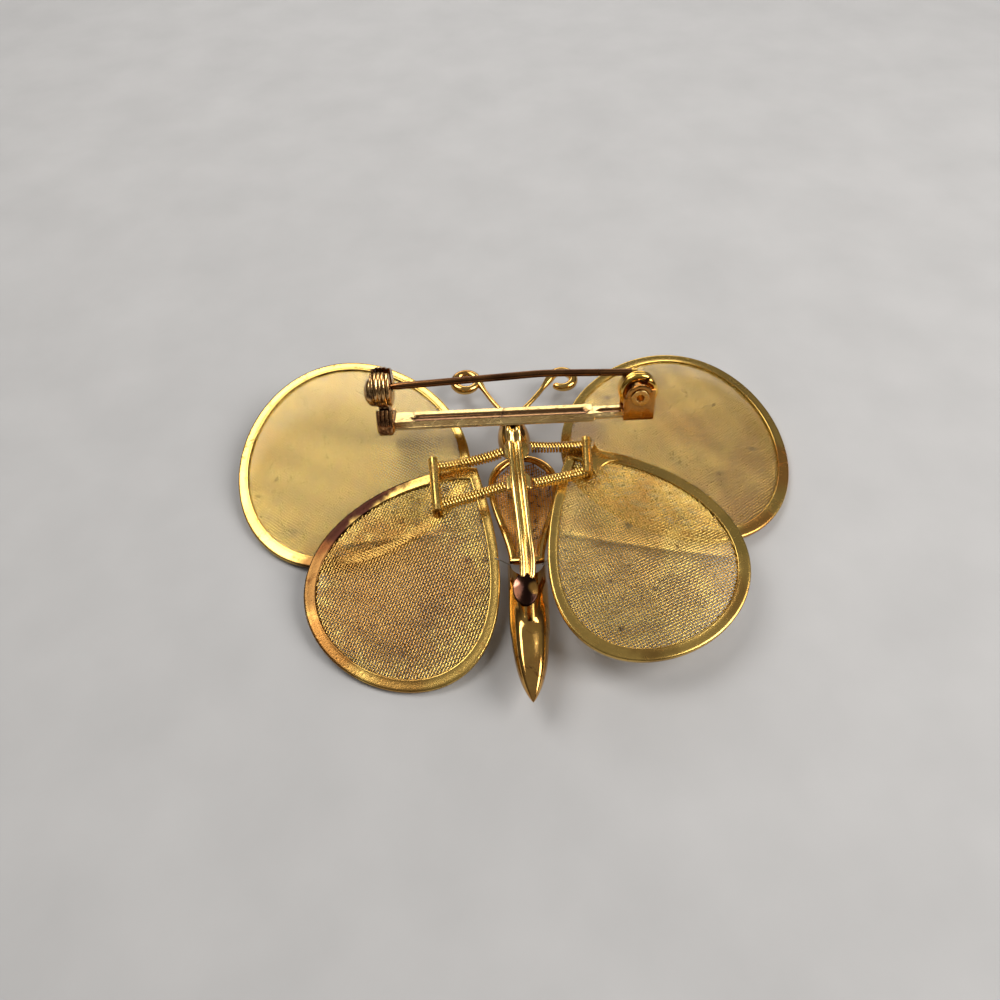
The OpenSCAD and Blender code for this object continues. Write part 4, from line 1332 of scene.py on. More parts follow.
@dataclass
class Stem:
    """The ribbed strip down the back, the plate that carries the springs and the pad at its foot."""

    width: float = 1.45
    thick: float = 0.5
    strip_steps: int = 90
    under_bar: float = -0.78
    anchor_length: float = 5.7
    plate_thick: float = 0.4
    waist: float = 1.1
    bay: float = 0.54
    toe: float = 0.3
    corner: float = 0.1
    nick: float = 0.45
    tongue: float = 1.5
    pad: Seat = Seat((0.2, -0.75, 4.24), (4, 0, 0))
    pad_length: float = 3.3
    pad_width: float = 2.3

    def _strip(self, surface: Surface) -> None:
        """Carries the ribbed section along the strip's route, narrower toward its foot.

        The width is that of the strip times (1 - 0.55 smoothstep) (1 + 0.03 sin 19s) at a share s of
        the route, where the first factor falls over the last tenth.

        Args:
            surface: Takes the strip.
        """
        route = [
            BAR.put((0.02, 1, self.under_bar)), BAR.put((0.04, -1.55, self.under_bar)), (0.1, 14.2, 6.4),
            (0.22, 9.4, 6.4), (0.36, 6.6, 5.9), (0.48, 4, 5.35), (0.56, 2, 4.78), (0.5, 0.8, 4.48),
            (0.35, -0.3, 4.24),
        ]
        path = smooth_route(route, self.strip_steps)
        share = np.linspace(0, 1, self.strip_steps)[:, None]
        wide = (1 - 0.55 * smoothstep(0.9, 1, share)) * (1 + 0.03 * np.sin(19 * share))
        x, z = (np.asarray(STRIP_SECTION) * (self.width / 2, self.thick / 2)).T
        surface.grid(path[:, None] + spread(wide * x, 0.0, wide * z), columns_close=True,
                     poles=(path[0], path[-1]))

    def _anchor(self, surface: Surface) -> None:
        """Adds the four-armed plate: hollow sides and lower end, and a tongue at its upper end.

        Each side is half an ellipse that leaves the waist, and the lower end is a parabola.

        Args:
            surface: Takes the plate.
        """
        half, tall, cut = ANCHOR_WIDTH / 2, self.anchor_length / 2, self.corner
        foot, bay = half - self.toe, self.bay * tall
        x = np.linspace(0, foot, 6)
        low = np.column_stack((x, -tall + self.nick * (1 - (x / foot) ** 2)))
        y = np.linspace(-bay, bay, 15)
        sunk = (half - self.waist / 2) * np.sqrt(np.maximum(1 - (y / bay) ** 2, 0))
        hollow = np.column_stack((half - sunk, y))
        top = np.array(((half, tall - 4 * cut), (half, tall - cut), (half - cut, tall + cut / 2),
                        (self.waist / 2, tall + self.tongue - cut)))
        right = np.concatenate((low, [(half - cut, -tall), (half, cut - tall)], hollow, top))
        left = right[::-1] * (-1, 1)
        surface.plate(np.concatenate((right, left[:-1])), self.plate_thick, rounding=0.12, dome=0.03,
                      place=Seat(ANCHOR_AT).put)

    def _pad(self, surface: Surface) -> None:
        """Adds the domed pad, whose outline is two arcs that meet in soft points.

        Args:
            surface: Takes the pad.
        """
        a = np.linspace(0, 2 * np.pi, 56, endpoint=False)
        outline = np.column_stack((self.pad_width / 2 * np.cos(a) * (1 - 0.1 * np.sin(a) ** 4),
                                   self.pad_length / 2 * np.sin(a)))
        surface.plate(outline, self.plate_thick, rounding=0.16, dome=0.22, place=self.pad.put)

    def build(self, finishes: Finishes) -> None:
        """Builds the stem and its pad, which has a finish of its own.

        Args:
            finishes: Materials by name.
        """
        metal = Surface()
        self._strip(metal)
        self._anchor(metal)
        dress(metal.build("stem_strip_and_anchor", finishes["stem"]), "root", "stem")
        foot = Surface()
        self._pad(foot)
        piece = foot.build("stem_pad", finishes["pad"])
        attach(piece, "root")


# Body

BODY = Seat((0.59, 3.05, 2.5), (-2.0, 0.0, -1.5))
CONE = Seat((0.0, -0.03, -0.42), (-3.0, 0.0, 0.0), BODY)


@dataclass(frozen=True)
class Antenna:
    """One antenna: a bowed leg from its flat root and a curl about its flat middle, in degrees."""

    side: Side
    root: tuple[float, float]
    curl: tuple[float, float]
    around: float
    radius: float = 1.3
    height: float = 2.3
    bow: float = 0.28
    thin: float = 0.28
    thick: float = 0.53

    def add(self, surface: Surface) -> None:
        """Adds the leg, which bows and meets the curl as a tangent, and the tapering curl, an arc.

        Args:
            surface: Takes the antenna.
        """
        side = self.side.value
        step = np.subtract(self.curl, self.root)
        far = np.linalg.norm(step)
        heading = math.atan2(step[1], step[0]) + side * math.asin(self.radius / far)
        leg = math.sqrt(far**2 - self.radius**2)
        s = np.linspace(0, 1, 40)
        bow = side * self.bow * np.sin(np.pi * s) * (1 - 0.4 * s)
        q = np.radians(np.linspace(0, self.around, 64)[1:])
        turn = side * (np.pi / 2 - q)
        reach = self.radius * (1 - 0.03 * q / q[-1])
        ring = spread(leg + reach * np.cos(turn), -side * self.radius + reach * np.sin(turn), 0.0)
        path = np.concatenate((spread(leg * s, -bow, 0.0), ring))
        swell = self.thin + (self.thick - self.thin) * smoothstep(0.62, 1, s)
        taper = self.thick - 0.12 * smoothstep(0.6, 1, q / q[-1])
        taper[-3:] *= (0.92, 0.75, 0.4)
        seat = Seat((*self.root, self.height), (0, 0, math.degrees(heading)))
        surface.tube(seat.put(path), np.concatenate((swell, taper)), 20, (0, 0, 1))


ANTENNAE = (
    Antenna(Side.LEFT, (-0.4, 22.2), (-4.84, 27.76), 330.0),
    Antenna(Side.RIGHT, (0.66, 22.2), (6.17, 27.45), 285.0),
)
BINDING_WIRES = (
    ((-0.95, 2.4, 3.3), (-1.7, 2.75, 3.5), (-2.4, 3.15, 3.5)),
    ((1.95, 2.3, 3.3), (2.5, 2.6, 3.6), (3.15, 3.0, 3.9)),
)


@dataclass
class Body:
    """Thorax, abdomen and head, with both antennae."""

    thorax_length: float = 13.5
    thorax_end: float = 3.4
    bulge: float = 4.9
    band: float = 0.7
    band_thick: float = 0.6
    dome: float = 1.8
    dome_middle: float = 0.62
    gauze_inset: float = 0.3
    gauze_drop: float = 0.13
    abdomen_length: float = 13.87
    abdomen_radius: float = 1.85
    wall: float = 0.35
    opening: float = 7.0
    opening_full: float = 2.6
    pit: float = 0.35
    lip: float = 0.13
    binding: float = 0.06
    press_at: float = 0.86
    tail_seam: float = 0.16
    head: Seat = Seat((0.36, 16.72, 1.9), (0, 0, 4))
    head_length: float = 6.2
    head_radius: float = 1.44
    neck: float = 0.9

    def thorax_outline(self, inset: Array | float, count: int) -> Array:
        """Points round the thorax: half width 1.7(1 - s) + bulge sin t sin^2(t/2), s = (1 - cos t)/2.

        Args:
            inset: One inset or an array of k.
            count: Steps along each side.

        Returns:
            Array of points by k by 2, or points by 2 for one inset.
        """
        insets = np.atleast_1d(np.asarray(inset, float))
        t = np.linspace(0, np.pi, count + 1)[:, None]
        s = (1 - np.cos(t)) / 2
        x = self.thorax_end / 2 * (1 - s) + self.bulge * np.sin(t) * np.sin(t / 2) ** 2
        x = x - insets * np.minimum(1, (np.pi - t) / np.radians(30))
        y = insets + (self.thorax_length - 2 * insets) * s
        right = np.stack((x, y), -1)
        left = right[-2::-1] * (-1, 1)
        whole = np.concatenate((right, left))
        return whole if np.ndim(inset) else whole[:, 0]

    def _thorax(self, finishes: Finishes) -> None:
        """Builds the thorax frame, a band with a round back, and the woven dome that hangs in it.

        The band's section is a circle whose sine and cosine are taken to the power 0.8.

        Args:
            finishes: Materials by name.
        """
        a = np.linspace(0, 2 * np.pi, 18, endpoint=False)
        insets = self.band / 2 * (1 - np.sign(np.cos(a)) * np.abs(np.cos(a)) ** 0.8)
        level = self.band_thick / 2 * np.sign(np.sin(a)) * np.abs(np.sin(a)) ** 0.8
        flat = self.thorax_outline(insets, 60)
        frame = Surface()
        frame.grid(BODY.put(spread(flat[..., 0], flat[..., 1], level)), rows_close=True,
                   columns_close=True)
        dress(frame.build("thorax_band", finishes["body"]), "root", "thorax_rim")

        edge = self.thorax_outline(self.gauze_inset, 60)
        middle = np.array((0, self.thorax_length * self.dome_middle))
        spokes = edge - middle
        bearing = np.arctan2(spokes[:, 1], spokes[:, 0])
        order = np.argsort(bearing)
        far = np.linalg.norm(spokes, axis=1)
        top = -self.band_thick / 2 - self.gauze_drop

        def height(flat_points: Array, deep: Array) -> Array:
            """Height of the dome: top - dome sqrt(1 - s^2.4) at a share s of the way to the edge.

            Args:
                flat_points: Array of flat points.
                deep: Their distances from the edge, which aren't used.

            Returns:
                Array of heights.
            """
            offset = flat_points - middle
            toward = np.arctan2(offset[..., 1], offset[..., 0])
            reach = np.interp(toward, bearing[order], far[order], period=2 * np.pi)
            share = np.linalg.norm(offset, axis=-1) / reach
            return top - self.dome * np.sqrt(np.maximum(0, 1 - share**2.4))

        dome = Surface()
        Weave(wire=0.136).lay(dome, (1.5, 91.5), edge, height, BODY.put)
        # The dome takes the browner thorax finish, which paints in its shade.
        piece = dome.build("thorax_weave", finishes["thorax_gauze"], crisp=None)
        dress(piece, "root", "thorax_gauze")

    def _abdomen(self, finishes: Finishes) -> None:
        """Builds the folded sheet cone, open at its front half, with rolled edges round the opening.

        Radius r(1 - (y/l)^5)^0.9. The opening narrows in a straight V to a small round pit. Past it
        the back is pressed flat. Two fine grey wires stand beside its mouth.

        Args:
            finishes: Materials by name.
        """
        full = self.abdomen_radius - self.wall

        def around(y: Array, r: Array, angle: Array) -> Array:
            """Points at y past the mouth, at radius r but pressed flat above past the opening.

            Args:
                y: Distances past the mouth.
                r: Radii before the pressing.
                angle: Angles about the cone's line, from its top.

            Returns:
                Array of points in the body's frame.
            """
            press = smoothstep(self.opening - 0.6, self.opening + 1.4, y)
            flat = np.minimum(1, self.press_at / np.maximum(np.cos(angle), 0.05))
            rr = r * (flat * press + (1 - press)) * (1 - 0.05 * press * np.cos(2 * angle) ** 2)
            return spread(rr * np.sin(angle), -y, rr * np.cos(angle))

        grids = []
        y = np.linspace(0, self.opening + self.pit, 56)[:, None]
        for length, radius in ((self.abdomen_length, self.abdomen_radius),
                               (self.abdomen_length - 2 * self.wall, full)):
            r = radius * (1 - (y / length) ** 5) ** 0.9
            narrow = (y - self.opening_full) / (self.opening - self.opening_full)
            half = full + (self.pit - full) * np.clip(narrow, 0, 1)
            past = np.clip((y - self.opening) / self.pit, 0, 1)
            from_top = np.arcsin(np.minimum(1, half * np.sqrt(1 - past**2) / r) * 0.999)
            angle = from_top + (2 * np.pi - 2 * from_top) * np.linspace(0, 1, 61)[None]
            near = np.minimum(angle - from_top, 2 * np.pi - from_top - angle) * r
            lip = self.lip * np.exp(-((near / 0.3) ** 2)) * (1 - past)
            grids.append(around(y, r + lip, angle))
        cone = Surface()
        cone.shell(CONE.put(grids[0]), CONE.put(grids[1]))
        start = self.opening + self.tail_seam
        y = start + (self.abdomen_length - start) * np.sin(np.linspace(0, np.pi / 2, 44)[:-1, None])
        angle = np.linspace(0, 2 * np.pi, 72, endpoint=False)[None]
        radius = 0.996 * self.abdomen_radius * (1 - (y / self.abdomen_length) ** 5) ** 0.9
        cone.grid(CONE.put(around(y, radius, angle)), columns_close=True,
                  poles=(CONE.put((0, -start, 0)), CONE.put((0, -self.abdomen_length, 0))))
        dress(cone.build("abdomen_cone", finishes["body"], crisp=32), "root", "abdomen")
        wires = Surface()
        for route in BINDING_WIRES:
            wires.tube(smooth_route(route, 16), self.binding, 8, (0, 0, 1))
        piece = wires.build("binding_wires", finishes["wire"])
        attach(piece, "root")

    def _head(self, finishes: Finishes) -> None:
        """Builds the head, a turned drop, with both antennae.

        The radius is neck(1 - u) min(1, 12u) + full sin(pi u^0.8)^0.6 (0.72 + 0.28u) at a share u of
        its length.

        Args:
            finishes: Materials by name.
        """
        u = (1 - np.cos(np.linspace(0.06, np.pi - 0.03, 46))) / 2
        r = self.neck * (1 - u) * np.minimum(1, 12 * u)
        r = r + self.head_radius * np.sin(np.pi * u**0.8) ** 0.6 * (0.72 + 0.28 * u)
        r = r[:, None]
        a = np.linspace(0, 2 * np.pi, 44, endpoint=False)
        ball = spread(r * np.cos(a), self.head_length * u[:, None], r * np.sin(a))
        surface = Surface()
        surface.grid(self.head.put(ball), columns_close=True,
                     poles=(self.head.put((0, 0, 0)), self.head.put((0, self.head_length, 0))))
        for antenna in ANTENNAE:
            antenna.add(surface)
        piece = surface.build("head_and_antennae", finishes["body"], crisp=60)
        dress(piece, "root", "head")

    def build(self, finishes: Finishes) -> None:
        """Builds the three parts of the body.

        Args:
            finishes: Materials by name.
        """
        self._thorax(finishes)
        self._abdomen(finishes)
        self._head(finishes)


# Pin back

PIN_SIDE = 0.15
HINGE = Seat((12.5, PIN_SIDE, 2.1), within=BAR)
CATCH = Seat((-12.6, PIN_SIDE, 3.7), within=BAR)


@dataclass(frozen=True)
class Strip:
    """Flat strip along the bar, with a round-bottomed groove and a bevel toward the tail.

    The span and the groove's two points lie along the bar, the levels are those of the lower and
    upper face, and the groove has its middle across the bar, its half width and its depth.
    """

    span: tuple[float, float]
    width: float
    levels: tuple[float, float]
    groove: Triple
    points: tuple[float, float]
    bevel: float
    rounding: float = 0.08
    inner_margin: tuple[float, float] = (0.2, 0.12)
    point_length: float = 0.6
    # Share of the groove's half width whose faces take the painted shade
    groove_shade_share: float = 0.95

    def add(self, surface: Surface) -> None:
        """Adds the strip.

        The groove's depth is d sqrt(1 - t^2) at a share t of its half width, which shrinks to a point
        at both ends. The strip's edges are rounded.

        Args:
            surface: Takes the strip.
        """
        half, cut = self.width / 2, self.rounding
        start, end = self.span
        low, high = self.levels
        middle, wide, deep = self.groove
        dx, dy = self.inner_margin
        x = np.concatenate((np.linspace(start, start + cut, 4), np.linspace(start + dx, end - dx, 110),
                            np.linspace(end - cut, end, 4)))[:, None]
        corner = cut * (1 - np.cos(np.radians((0, 30, 60, 90))))
        y = np.concatenate((half - corner, np.linspace(half - dy, dy - half, 44), corner[::-1] - half))
        ends = [np.clip((x - self.points[0]) / self.point_length, 0, 1),
                np.clip((self.points[1] - x) / self.point_length, 0, 1)]
        g = wide * ends[0] * ends[1]
        t = np.where(g > 0.02, (y - middle) / np.maximum(g, 0.02), 9)
        sunk = deep * np.sqrt(np.maximum(0, 1 - t**2)) * np.minimum(1, g / wide * 1.6)
        drop = self.bevel * np.clip((middle - wide - y) / (half + middle - wide), 0, 1)
        aside = np.clip((np.abs(y) - half + cut) / cut, 0, 1)
        beyond = np.clip((np.abs(x - (start + end) / 2) - (end - start) / 2 + cut) / cut, 0, 1)
        top = high - sunk - drop - cut * (aside**2 + beyond**2)
        under = low + np.broadcast_to((cut, 0.0, 0.0, 0.0, cut), (len(x), 5))
        across = np.append(y, (-half, cut - half, 0.0, half - cut, half))
        # Painted shade: faces inside the groove take the darker groove material.
        dark = np.zeros((len(x) - 1, len(across)), int)
        dark[:, : len(y) - 1] = (np.abs(t[:-1, :-1]) + np.abs(t[1:, 1:])) / 2 < self.groove_shade_share
        centre = (low + high) / 2 - 0.06
        surface.grid(BAR.put(spread(x, across, np.hstack((top, under)))), columns_close=True,
                     poles=(BAR.put((start, 0.0, centre)), BAR.put((end, 0.0, centre))), paints=dark)


BAR_STRIP = Strip((-12.4, 8.2), 2.7, (-0.5, 0.0), (0.08, 0.6, 0.26), (-10.3, 7.9), 0.2)
NECK_STRIP = Strip((7.9, 11.3), 1.9, (-0.5, -0.05), (0.05, 0.42, 0.2), (8.4, 11.9), 0.12)
# Half width, lower and upper level, and place along the bar of each loop of the foot's wrap
WRAP_LOOPS = (
    (1.38, -0.53, 0.03, 0.66), (1.38, -0.53, 0.03, -0.66), (1.52, -0.65, 0.14, -0.75),
    (1.66, -0.8, 0.26, -0.66), (1.66, -0.8, 0.26, 0.66), (1.52, -0.65, 0.14, 0.75),
)


@dataclass
class Needle:
    """Pin wire with its coil: its turns fill the gap between the ears."""

    wire: float = 0.72
    coil_radius: float = 1.55
    turns: int = 3
    turn_pitch: float = 0.62
    gap: float = 2.2
    clearance: float = 0.04
    shaft: float = 13.0
    point: float = 2.4
    blunt: float = 0.14
    bend: float = 5.0
    bend_radius: float = 30.0
    rise: float = 3.2
    catch_length: float = 1.9

    def build(self, finishes: Finishes) -> None:
        """Builds the needle: three wound turns, a rise, a gentle bend, the shaft and a tapered point.

        The turns are a helix whose pitch keeps them side by side. The point's radius falls with the
        power 0.85 of what is left of its length, down to a blunt tip.

        Args:
            finishes: Materials by name.
        """
        side = (self.gap - self.wire) / 2 - self.clearance
        span = HINGE.at[0] - CATCH.at[0]
        rise_length = (span + self.catch_length / 2 - self.point - self.shaft
                       - self.bend_radius * math.sin(math.radians(self.bend)))
        skew = math.degrees(math.atan(side / span))
        a = np.radians(np.linspace(90 - 360 * self.turns + 30, 90, 36 * self.turns))
        share = np.linspace(0, 1, len(a))
        lay = side - self.turn_pitch * (self.turns - 1) * (1 - share)
        coil = spread(self.coil_radius * np.cos(-a + np.pi), lay, self.coil_radius * np.sin(a))
        s = np.linspace(0.2, rise_length, 16)
        straight = spread(-s, 0.0, self.coil_radius)
        f = np.radians(np.linspace(0, self.bend, 12)[1:])
        low = self.coil_radius - self.bend_radius
        arc = spread(-rise_length - self.bend_radius * np.sin(f), 0.0,
                     low + self.bend_radius * np.cos(f))
        way = np.array((-math.cos(f[-1]), 0, -math.sin(f[-1])))
        tip = self.shaft + self.point * np.linspace(0.1, 1, 14)
        s = np.concatenate((np.linspace(0.6, self.shaft, 20), tip))
        end = arc[-1] + s[:, None] * way
        leaving = Seat((0, side, 0), (0, self.rise, skew), HINGE)
        path = np.concatenate((HINGE.put(coil), leaving.put(np.concatenate((straight, arc, end)))))
        taper = np.clip((self.shaft + self.point - s) / self.point, 0, 1) ** 0.85
        radius = np.full(len(path), self.wire / 2)
        radius[: len(coil)] += 0.005
        radius[-len(s) :] *= np.maximum(taper, self.blunt)
        wound = (np.arange(len(path) - 1) < len(coil) + 1).astype(int)
        surface = Surface()
        surface.tube(path, radius, 18, turned(np.array((0.0, 1.0, 0.0)), BAR.angles), wound)
        piece = surface.build("needle_wire", finishes["pin"], finishes["coil"], crisp=60)
        dress(piece, "needle", "needle")


@dataclass
class Bar:
    """Grooved bar with its neck, its web and the two ears of the hinge."""

    ear_half: float = 1.5
    ear_back: float = 1.0
    ear_head: float = 1.3
    ear_corner: float = 0.715
    ear_foot: float = 2.6
    ear_thick: float = 0.4
    ear_side: float = 1.3
    eye: float = 0.65
    web: Seat = Seat((HINGE.at[0], PIN_SIDE, -0.35), within=BAR)
    web_thick: float = 0.3

    def _ears(self, surface: Surface) -> None:
        """Adds the web and the two ears: a round head, a square foot and one square corner.

        An ear's reach at an angle is where the ray meets the foot's box below the hinge, and above it
        the further of the head's circle and the corner's box.

        Args:
            surface: Takes the web and the ears.
        """
        a = np.radians(np.arange(0, 360, 5))
        c, s = [np.where(np.abs(v) < 1e-6, 1e-6, v) for v in (np.cos(a), np.sin(a))]
        foot = np.minimum(self.ear_half / np.abs(c), self.ear_foot / np.abs(s))
        sides = np.where(c > 0, self.ear_half, self.ear_back) / np.abs(c)
        head = np.maximum(self.ear_head, np.minimum(sides, self.ear_corner / np.abs(s)))
        circle = np.column_stack((np.cos(a), np.sin(a)))
        outer = np.where(s < 0, foot, head)[:, None] * circle
        for side in (-self.ear_side, self.ear_side):
            ear = Seat((0, side, 0), within=HINGE)
            surface.washer(outer, self.eye * circle, self.ear_thick, 0.07,
                           lambda points, ear=ear: ear.put(points[..., [0, 2, 1]]))
        surface.plate(loop_through(SQUARE) * self.ear_half, self.web_thick, rounding=0.05, dome=0.0,
                      place=self.web.put)

    def build(self, finishes: Finishes) -> None:
        """Builds the bar, with painted shade in its grooves, a darker material there, and a redder
        finish on its ears.

        Args:
            finishes: Materials by name.
        """
        surface = Surface()
        BAR_STRIP.add(surface)
        NECK_STRIP.add(surface)
        surface.paint = 2
        self._ears(surface)
        metals = (finishes["bar"], finishes["groove"], finishes["ear"])
        dress(surface.build("bar_with_ears", *metals, crisp=35), "root", "pin_bar")


@dataclass
class Catch:
    """Safety catch: a slotted ring on a foot that wraps the bar, and the roller that turns in it."""

    slot: float = 0.47
    ring_half: float = 0.55
    ring_radius: float = 1.86
    ring_bore: float = 1.625
    rib: float = 0.11
    foot: Seat = Seat((0, 0, -2.7), within=CATCH)
    foot_half: tuple[float, float] = (0.5, 0.85)
    foot_tall: float = 2.0
    base: Seat = Seat((CATCH.at[0], 0, 0), within=BAR)
    fold_wire: float = 0.2
    rib_wire: float = 0.22
    roller_half: float = 0.95
    bead_from: float = 0.6
    bead_radius: float = 1.76
    bead: float = 0.1
    roller_radius: float = 1.57
    roller_core: float = 0.471
    tab: Triple = (-0.9, -0.3, -0.3)
    tab_radius: float = 1.45
    tab_reach: float = 0.88

    def _lathe(self, x: Array, radius: Array | float) -> Array:
        """Points on a turned shape about the catch's axis, left open at a slot of parallel walls.

        Args:
            x: Places along the axis.
            radius: Radius at each place, or one for all.

        Returns:
            Array of places by turns by 3, in the maker's frame.
        """
        r = np.broadcast_to(radius, x.shape)[:, None]
        start = np.arcsin(np.minimum(1, self.slot / r))
        a = start + (2 * np.pi - 2 * start) * np.linspace(0, 1, 73)[None]
        return CATCH.put(spread(x[:, None], r * np.sin(a), r * np.cos(a)))

    def _foot(self, surface: Surface) -> None:
        """Adds the foot: its block, the loops that wrap the bar, two folds and four upright ribs.

        Args:
            surface: Takes the foot.
        """
        surface.plate(loop_through(SQUARE) * self.foot_half, self.foot_tall, rounding=0.14, dome=0.0,
                      place=self.foot.put)
        loops = []
        for y, low, top, reach in WRAP_LOOPS:
            loop = loop_through(((-y, low), (y, low), (y, top), (-y, top)))
            loops.append(spread(reach, loop[:, 0], loop[:, 1]))
        surface.grid(self.base.put(np.stack(loops)), rows_close=True, columns_close=True)
        way = np.linspace(-1.1, 1.1, 20)
        for at in (-0.5, 0.5):
            fold = spread(at, way + 0.1, 0.34 + 0.06 * np.cos(3 * way))
            surface.tube(self.base.put(fold), self.fold_wire, 12, (0, 0, 1))
        for at in (-0.63, -0.21, 0.21, 0.63):
            route = ((at, -1.5, -0.45), (at, -1.42, 0.3), (at, -1.15, 1.0), (at, -0.82, 1.62))
            surface.tube(self.base.put(smooth_route(route, 24)), self.rib_wire, 14, (1, 0, 0))

    def _roller(self, surface: Surface) -> None:
        """Adds the roller, a slotted tube with a bead at each end, and its tab, half an ellipsoid.

        A bead's radius is 1.76 + 0.1 sqrt(1 - s^2.5) at a share s of the way from its middle.

        Args:
            surface: Takes the roller.
        """
        start, end = self.bead_from, self.roller_half
        x = np.concatenate((np.linspace(-end, -start, 16), np.linspace(0.015 - start, start - 0.015, 12),
                            np.linspace(start, end, 16)))
        share = np.abs(np.abs(x) - (start + end) / 2) / ((end - start) / 2)
        beads = self.bead_radius + self.bead * np.sqrt(np.maximum(0, 1 - share**2.5))
        radius = np.where(np.abs(x) > start - 0.01, beads, self.roller_radius)
        surface.shell(self._lathe(x, radius), self._lathe(x, self.roller_core))
        v = np.radians(np.linspace(0, 88, 18))[:, None]
        u = np.linspace(0, 2 * np.pi, 48, endpoint=False)[None]
        a, b, c = self.tab
        dome = spread(a - self.tab_reach * np.sin(v), b + self.tab_radius * np.cos(v) * np.cos(u),
                      c + self.tab_radius * np.cos(v) * np.sin(u))
        surface.grid(CATCH.put(dome), columns_close=True,
                     poles=(CATCH.put((a, b, c)), CATCH.put((a - self.tab_reach, b, c))))

    def build(self, finishes: Finishes) -> None:
        """Builds the ring with its foot, and the roller.

        The ring's radius is 1.86 + 0.11 |sin|^0.7, with three ribs over its length.

        Args:
            finishes: Materials by name.
        """
        ring = Surface()
        x = np.linspace(-self.ring_half, self.ring_half, 45)
        wave = np.abs(np.sin(3 * np.pi * (x + self.ring_half) / (2 * self.ring_half))) ** 0.7
        ring.shell(self._lathe(x, self.ring_radius + self.rib * wave), self._lathe(x, self.ring_bore))
        self._foot(ring)
        piece = ring.build("catch_ring_and_foot", finishes["catch"], crisp=50)
        dress(piece, "root", "catch_housing")
        roller = Surface()
        self._roller(roller)
        piece = roller.build("catch_wheel", finishes["catch"], crisp=50)
        dress(piece, "catch_roller", "catch_roller")


def dress_rivet(node: bpy.types.Object, finishes: Finishes) -> None:
    """Gives the hinge's rivet its finish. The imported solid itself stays.

    Args:
        node: The rivet's node.
        finishes: Materials by name.
    """
    for slot in node.material_slots:
        slot.material = finishes["rivet"]
    LOG.info("%s dressed", node.name)


# Studio


@dataclass(frozen=True)
class Lamp:
    """A soft box that faces the brooch, with its place and size in metres and its power in watts."""

    name: str
    place: Triple
    size: tuple[float, float]
    power: float
    colour: Triple

    def hang(self) -> None:
        """Adds the lamp to the scene."""
        data = bpy.data.lights.new(self.name, "AREA")
        data.shape = "RECTANGLE"
        data.size, data.size_y = self.size
        data.energy = self.power
        data.color = self.colour
        lamp = bpy.data.objects.new(self.name, data)
        lamp.location = self.place
        lamp.rotation_euler = (-Vector(self.place)).to_track_quat("-Z", "Y").to_euler()
        bpy.context.scene.collection.objects.link(lamp)


LAMPS = (
    Lamp("key", (-0.14, 0.10, 0.26), (0.16, 0.16), 0.5, (1.0, 0.98, 0.95)),
    Lamp("fill", (0.22, -0.05, 0.2), (0.16, 0.2), 0.85, (1.0, 0.98, 0.95)),
    Lamp("back", (0.03, 0.28, 0.12), (0.26, 0.08), 0.22, (1.0, 1.0, 1.0)),
)


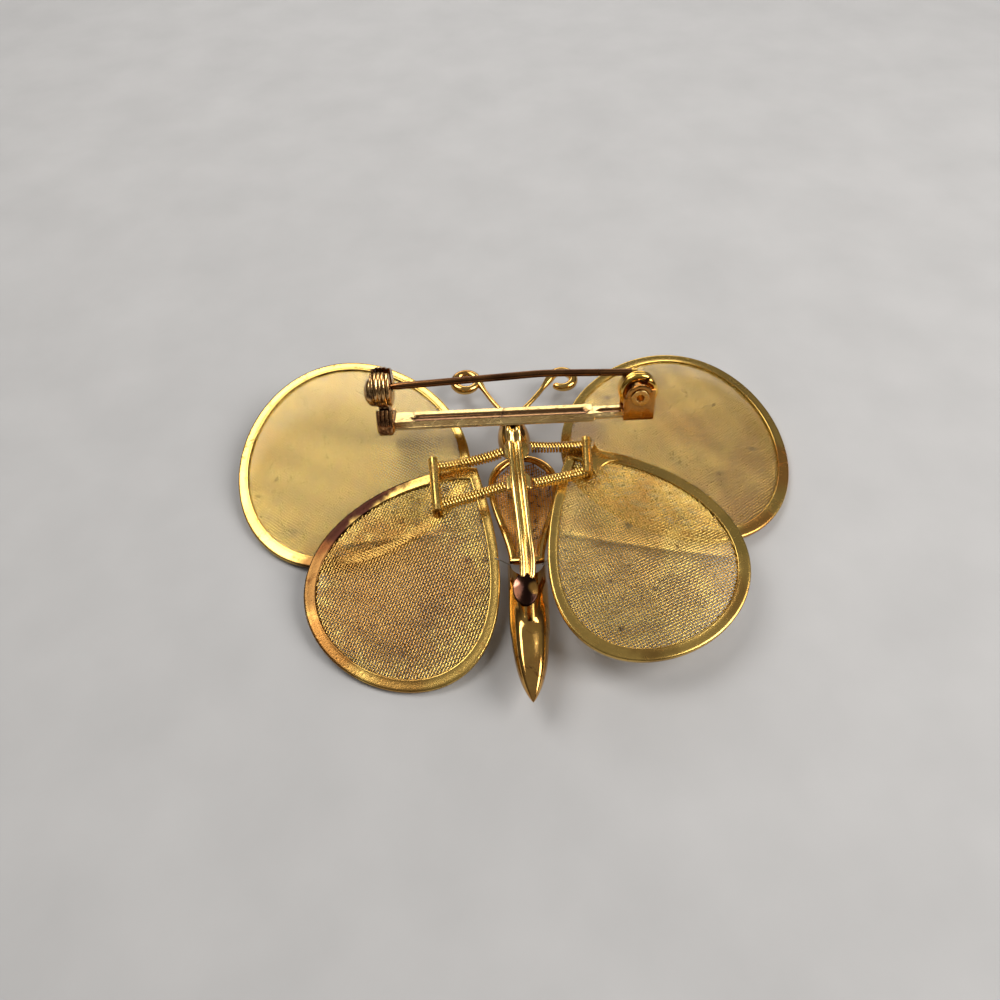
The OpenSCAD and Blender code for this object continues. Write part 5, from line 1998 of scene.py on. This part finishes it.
@dataclass
class Studio:
    """Pale floor, soft lights and the camera at the photograph's angle."""

    eye: Triple = (-1.866, -41.894, 60.982)
    look: Triple = (0.002, 0.593, -0.805)
    up: Triple = (0.051, 0.804, 0.592)
    lens: float = 25.92
    sensor: float = 36.0
    floor_size: float = 3.0
    floor_tones: tuple[Colour, Colour] = (tone(168, 167, 167), tone(186, 185, 185))
    mottle_scale: float = 90.0
    sky_tones: tuple[Colour, Colour] = (tone(70, 60, 50), tone(196, 194, 190))
    sky_strength: float = 0.42

    def _floor(self) -> None:
        """Lays the floor, a plain sheet with a faint mottle."""
        half = self.floor_size / 2
        mesh = bpy.data.meshes.new("floor")
        corners = [(x * half, y * half, 0) for x, y in SQUARE]
        mesh.from_pydata(corners, [], [(0, 1, 2, 3)])
        floor = bpy.data.objects.new("floor", mesh)
        bpy.context.scene.collection.objects.link(floor)
        made = bpy.data.materials.new("pale_paper")
        made.use_nodes = True
        made.node_tree.nodes.clear()
        t = Tree(made.node_tree)
        place = t.node("ShaderNodeTexCoord").outputs["Object"]
        noise = t.node("ShaderNodeTexNoise", Vector=place, Scale=self.mottle_scale, Detail=6.0)
        colour = t.mix(noise.outputs["Fac"], *self.floor_tones)
        shader = t.node("ShaderNodeBsdfPrincipled", Base_Color=colour, Roughness=0.85)
        t.node("ShaderNodeOutputMaterial", Surface=shader.outputs["BSDF"])
        mesh.materials.append(made)

    def _world(self) -> None:
        """Sets a soft sky: pale above, darker toward the horizon."""
        world = bpy.data.worlds.new("soft_sky")
        bpy.context.scene.world = world
        world.use_nodes = True
        world.node_tree.nodes.clear()
        t = Tree(world.node_tree)
        way = t.node("ShaderNodeTexCoord").outputs["Generated"]
        split = t.node("ShaderNodeSeparateXYZ", _0=way)
        share = t.ramp(split.outputs["Z"], -0.1, 0.95)
        colour = t.mix(share, *self.sky_tones)
        back = t.node("ShaderNodeBackground", Color=colour, Strength=self.sky_strength)
        t.node("ShaderNodeOutputWorld", Surface=back.outputs["Background"])

    def _camera(self) -> None:
        """Sets the camera."""
        back = -Vector(self.look).normalized()
        right = Vector(self.up).cross(back).normalized()
        above = back.cross(right)
        data = bpy.data.cameras.new("camera")
        data.lens = self.lens
        data.sensor_width = self.sensor
        data.clip_start = 0.001
        camera = bpy.data.objects.new("camera", data)
        turn = Matrix((right, above, back)).transposed().to_4x4()
        camera.matrix_world = Matrix.Translation(Vector(self.eye) * MM) @ turn
        bpy.context.scene.collection.objects.link(camera)
        bpy.context.scene.camera = camera

    def build(self) -> None:
        """Sets up the floor, the lights and the camera."""
        self._floor()
        self._world()
        for lamp in LAMPS:
            lamp.hang()
        self._camera()
        bpy.context.scene.view_settings.view_transform = "Standard"


def main() -> None:
    """Loads the frame and builds every piece, the finishes and the studio."""
    logging.basicConfig(level=logging.INFO, format="%(name)s: %(message)s")
    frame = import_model()
    effects = Effects()
    finishes = {key: finish.material(effects) for key, finish in FINISHES.items()}
    for assembly in (*WING_PAIRS, *SPRINGS, Stem(), Body(), Needle(), Bar(), Catch()):
        assembly.build(finishes)
    dress_rivet(frame["nodes"]["hinge_rivet"], finishes)
    Studio().build()


if __name__ == "__main__":
    main()
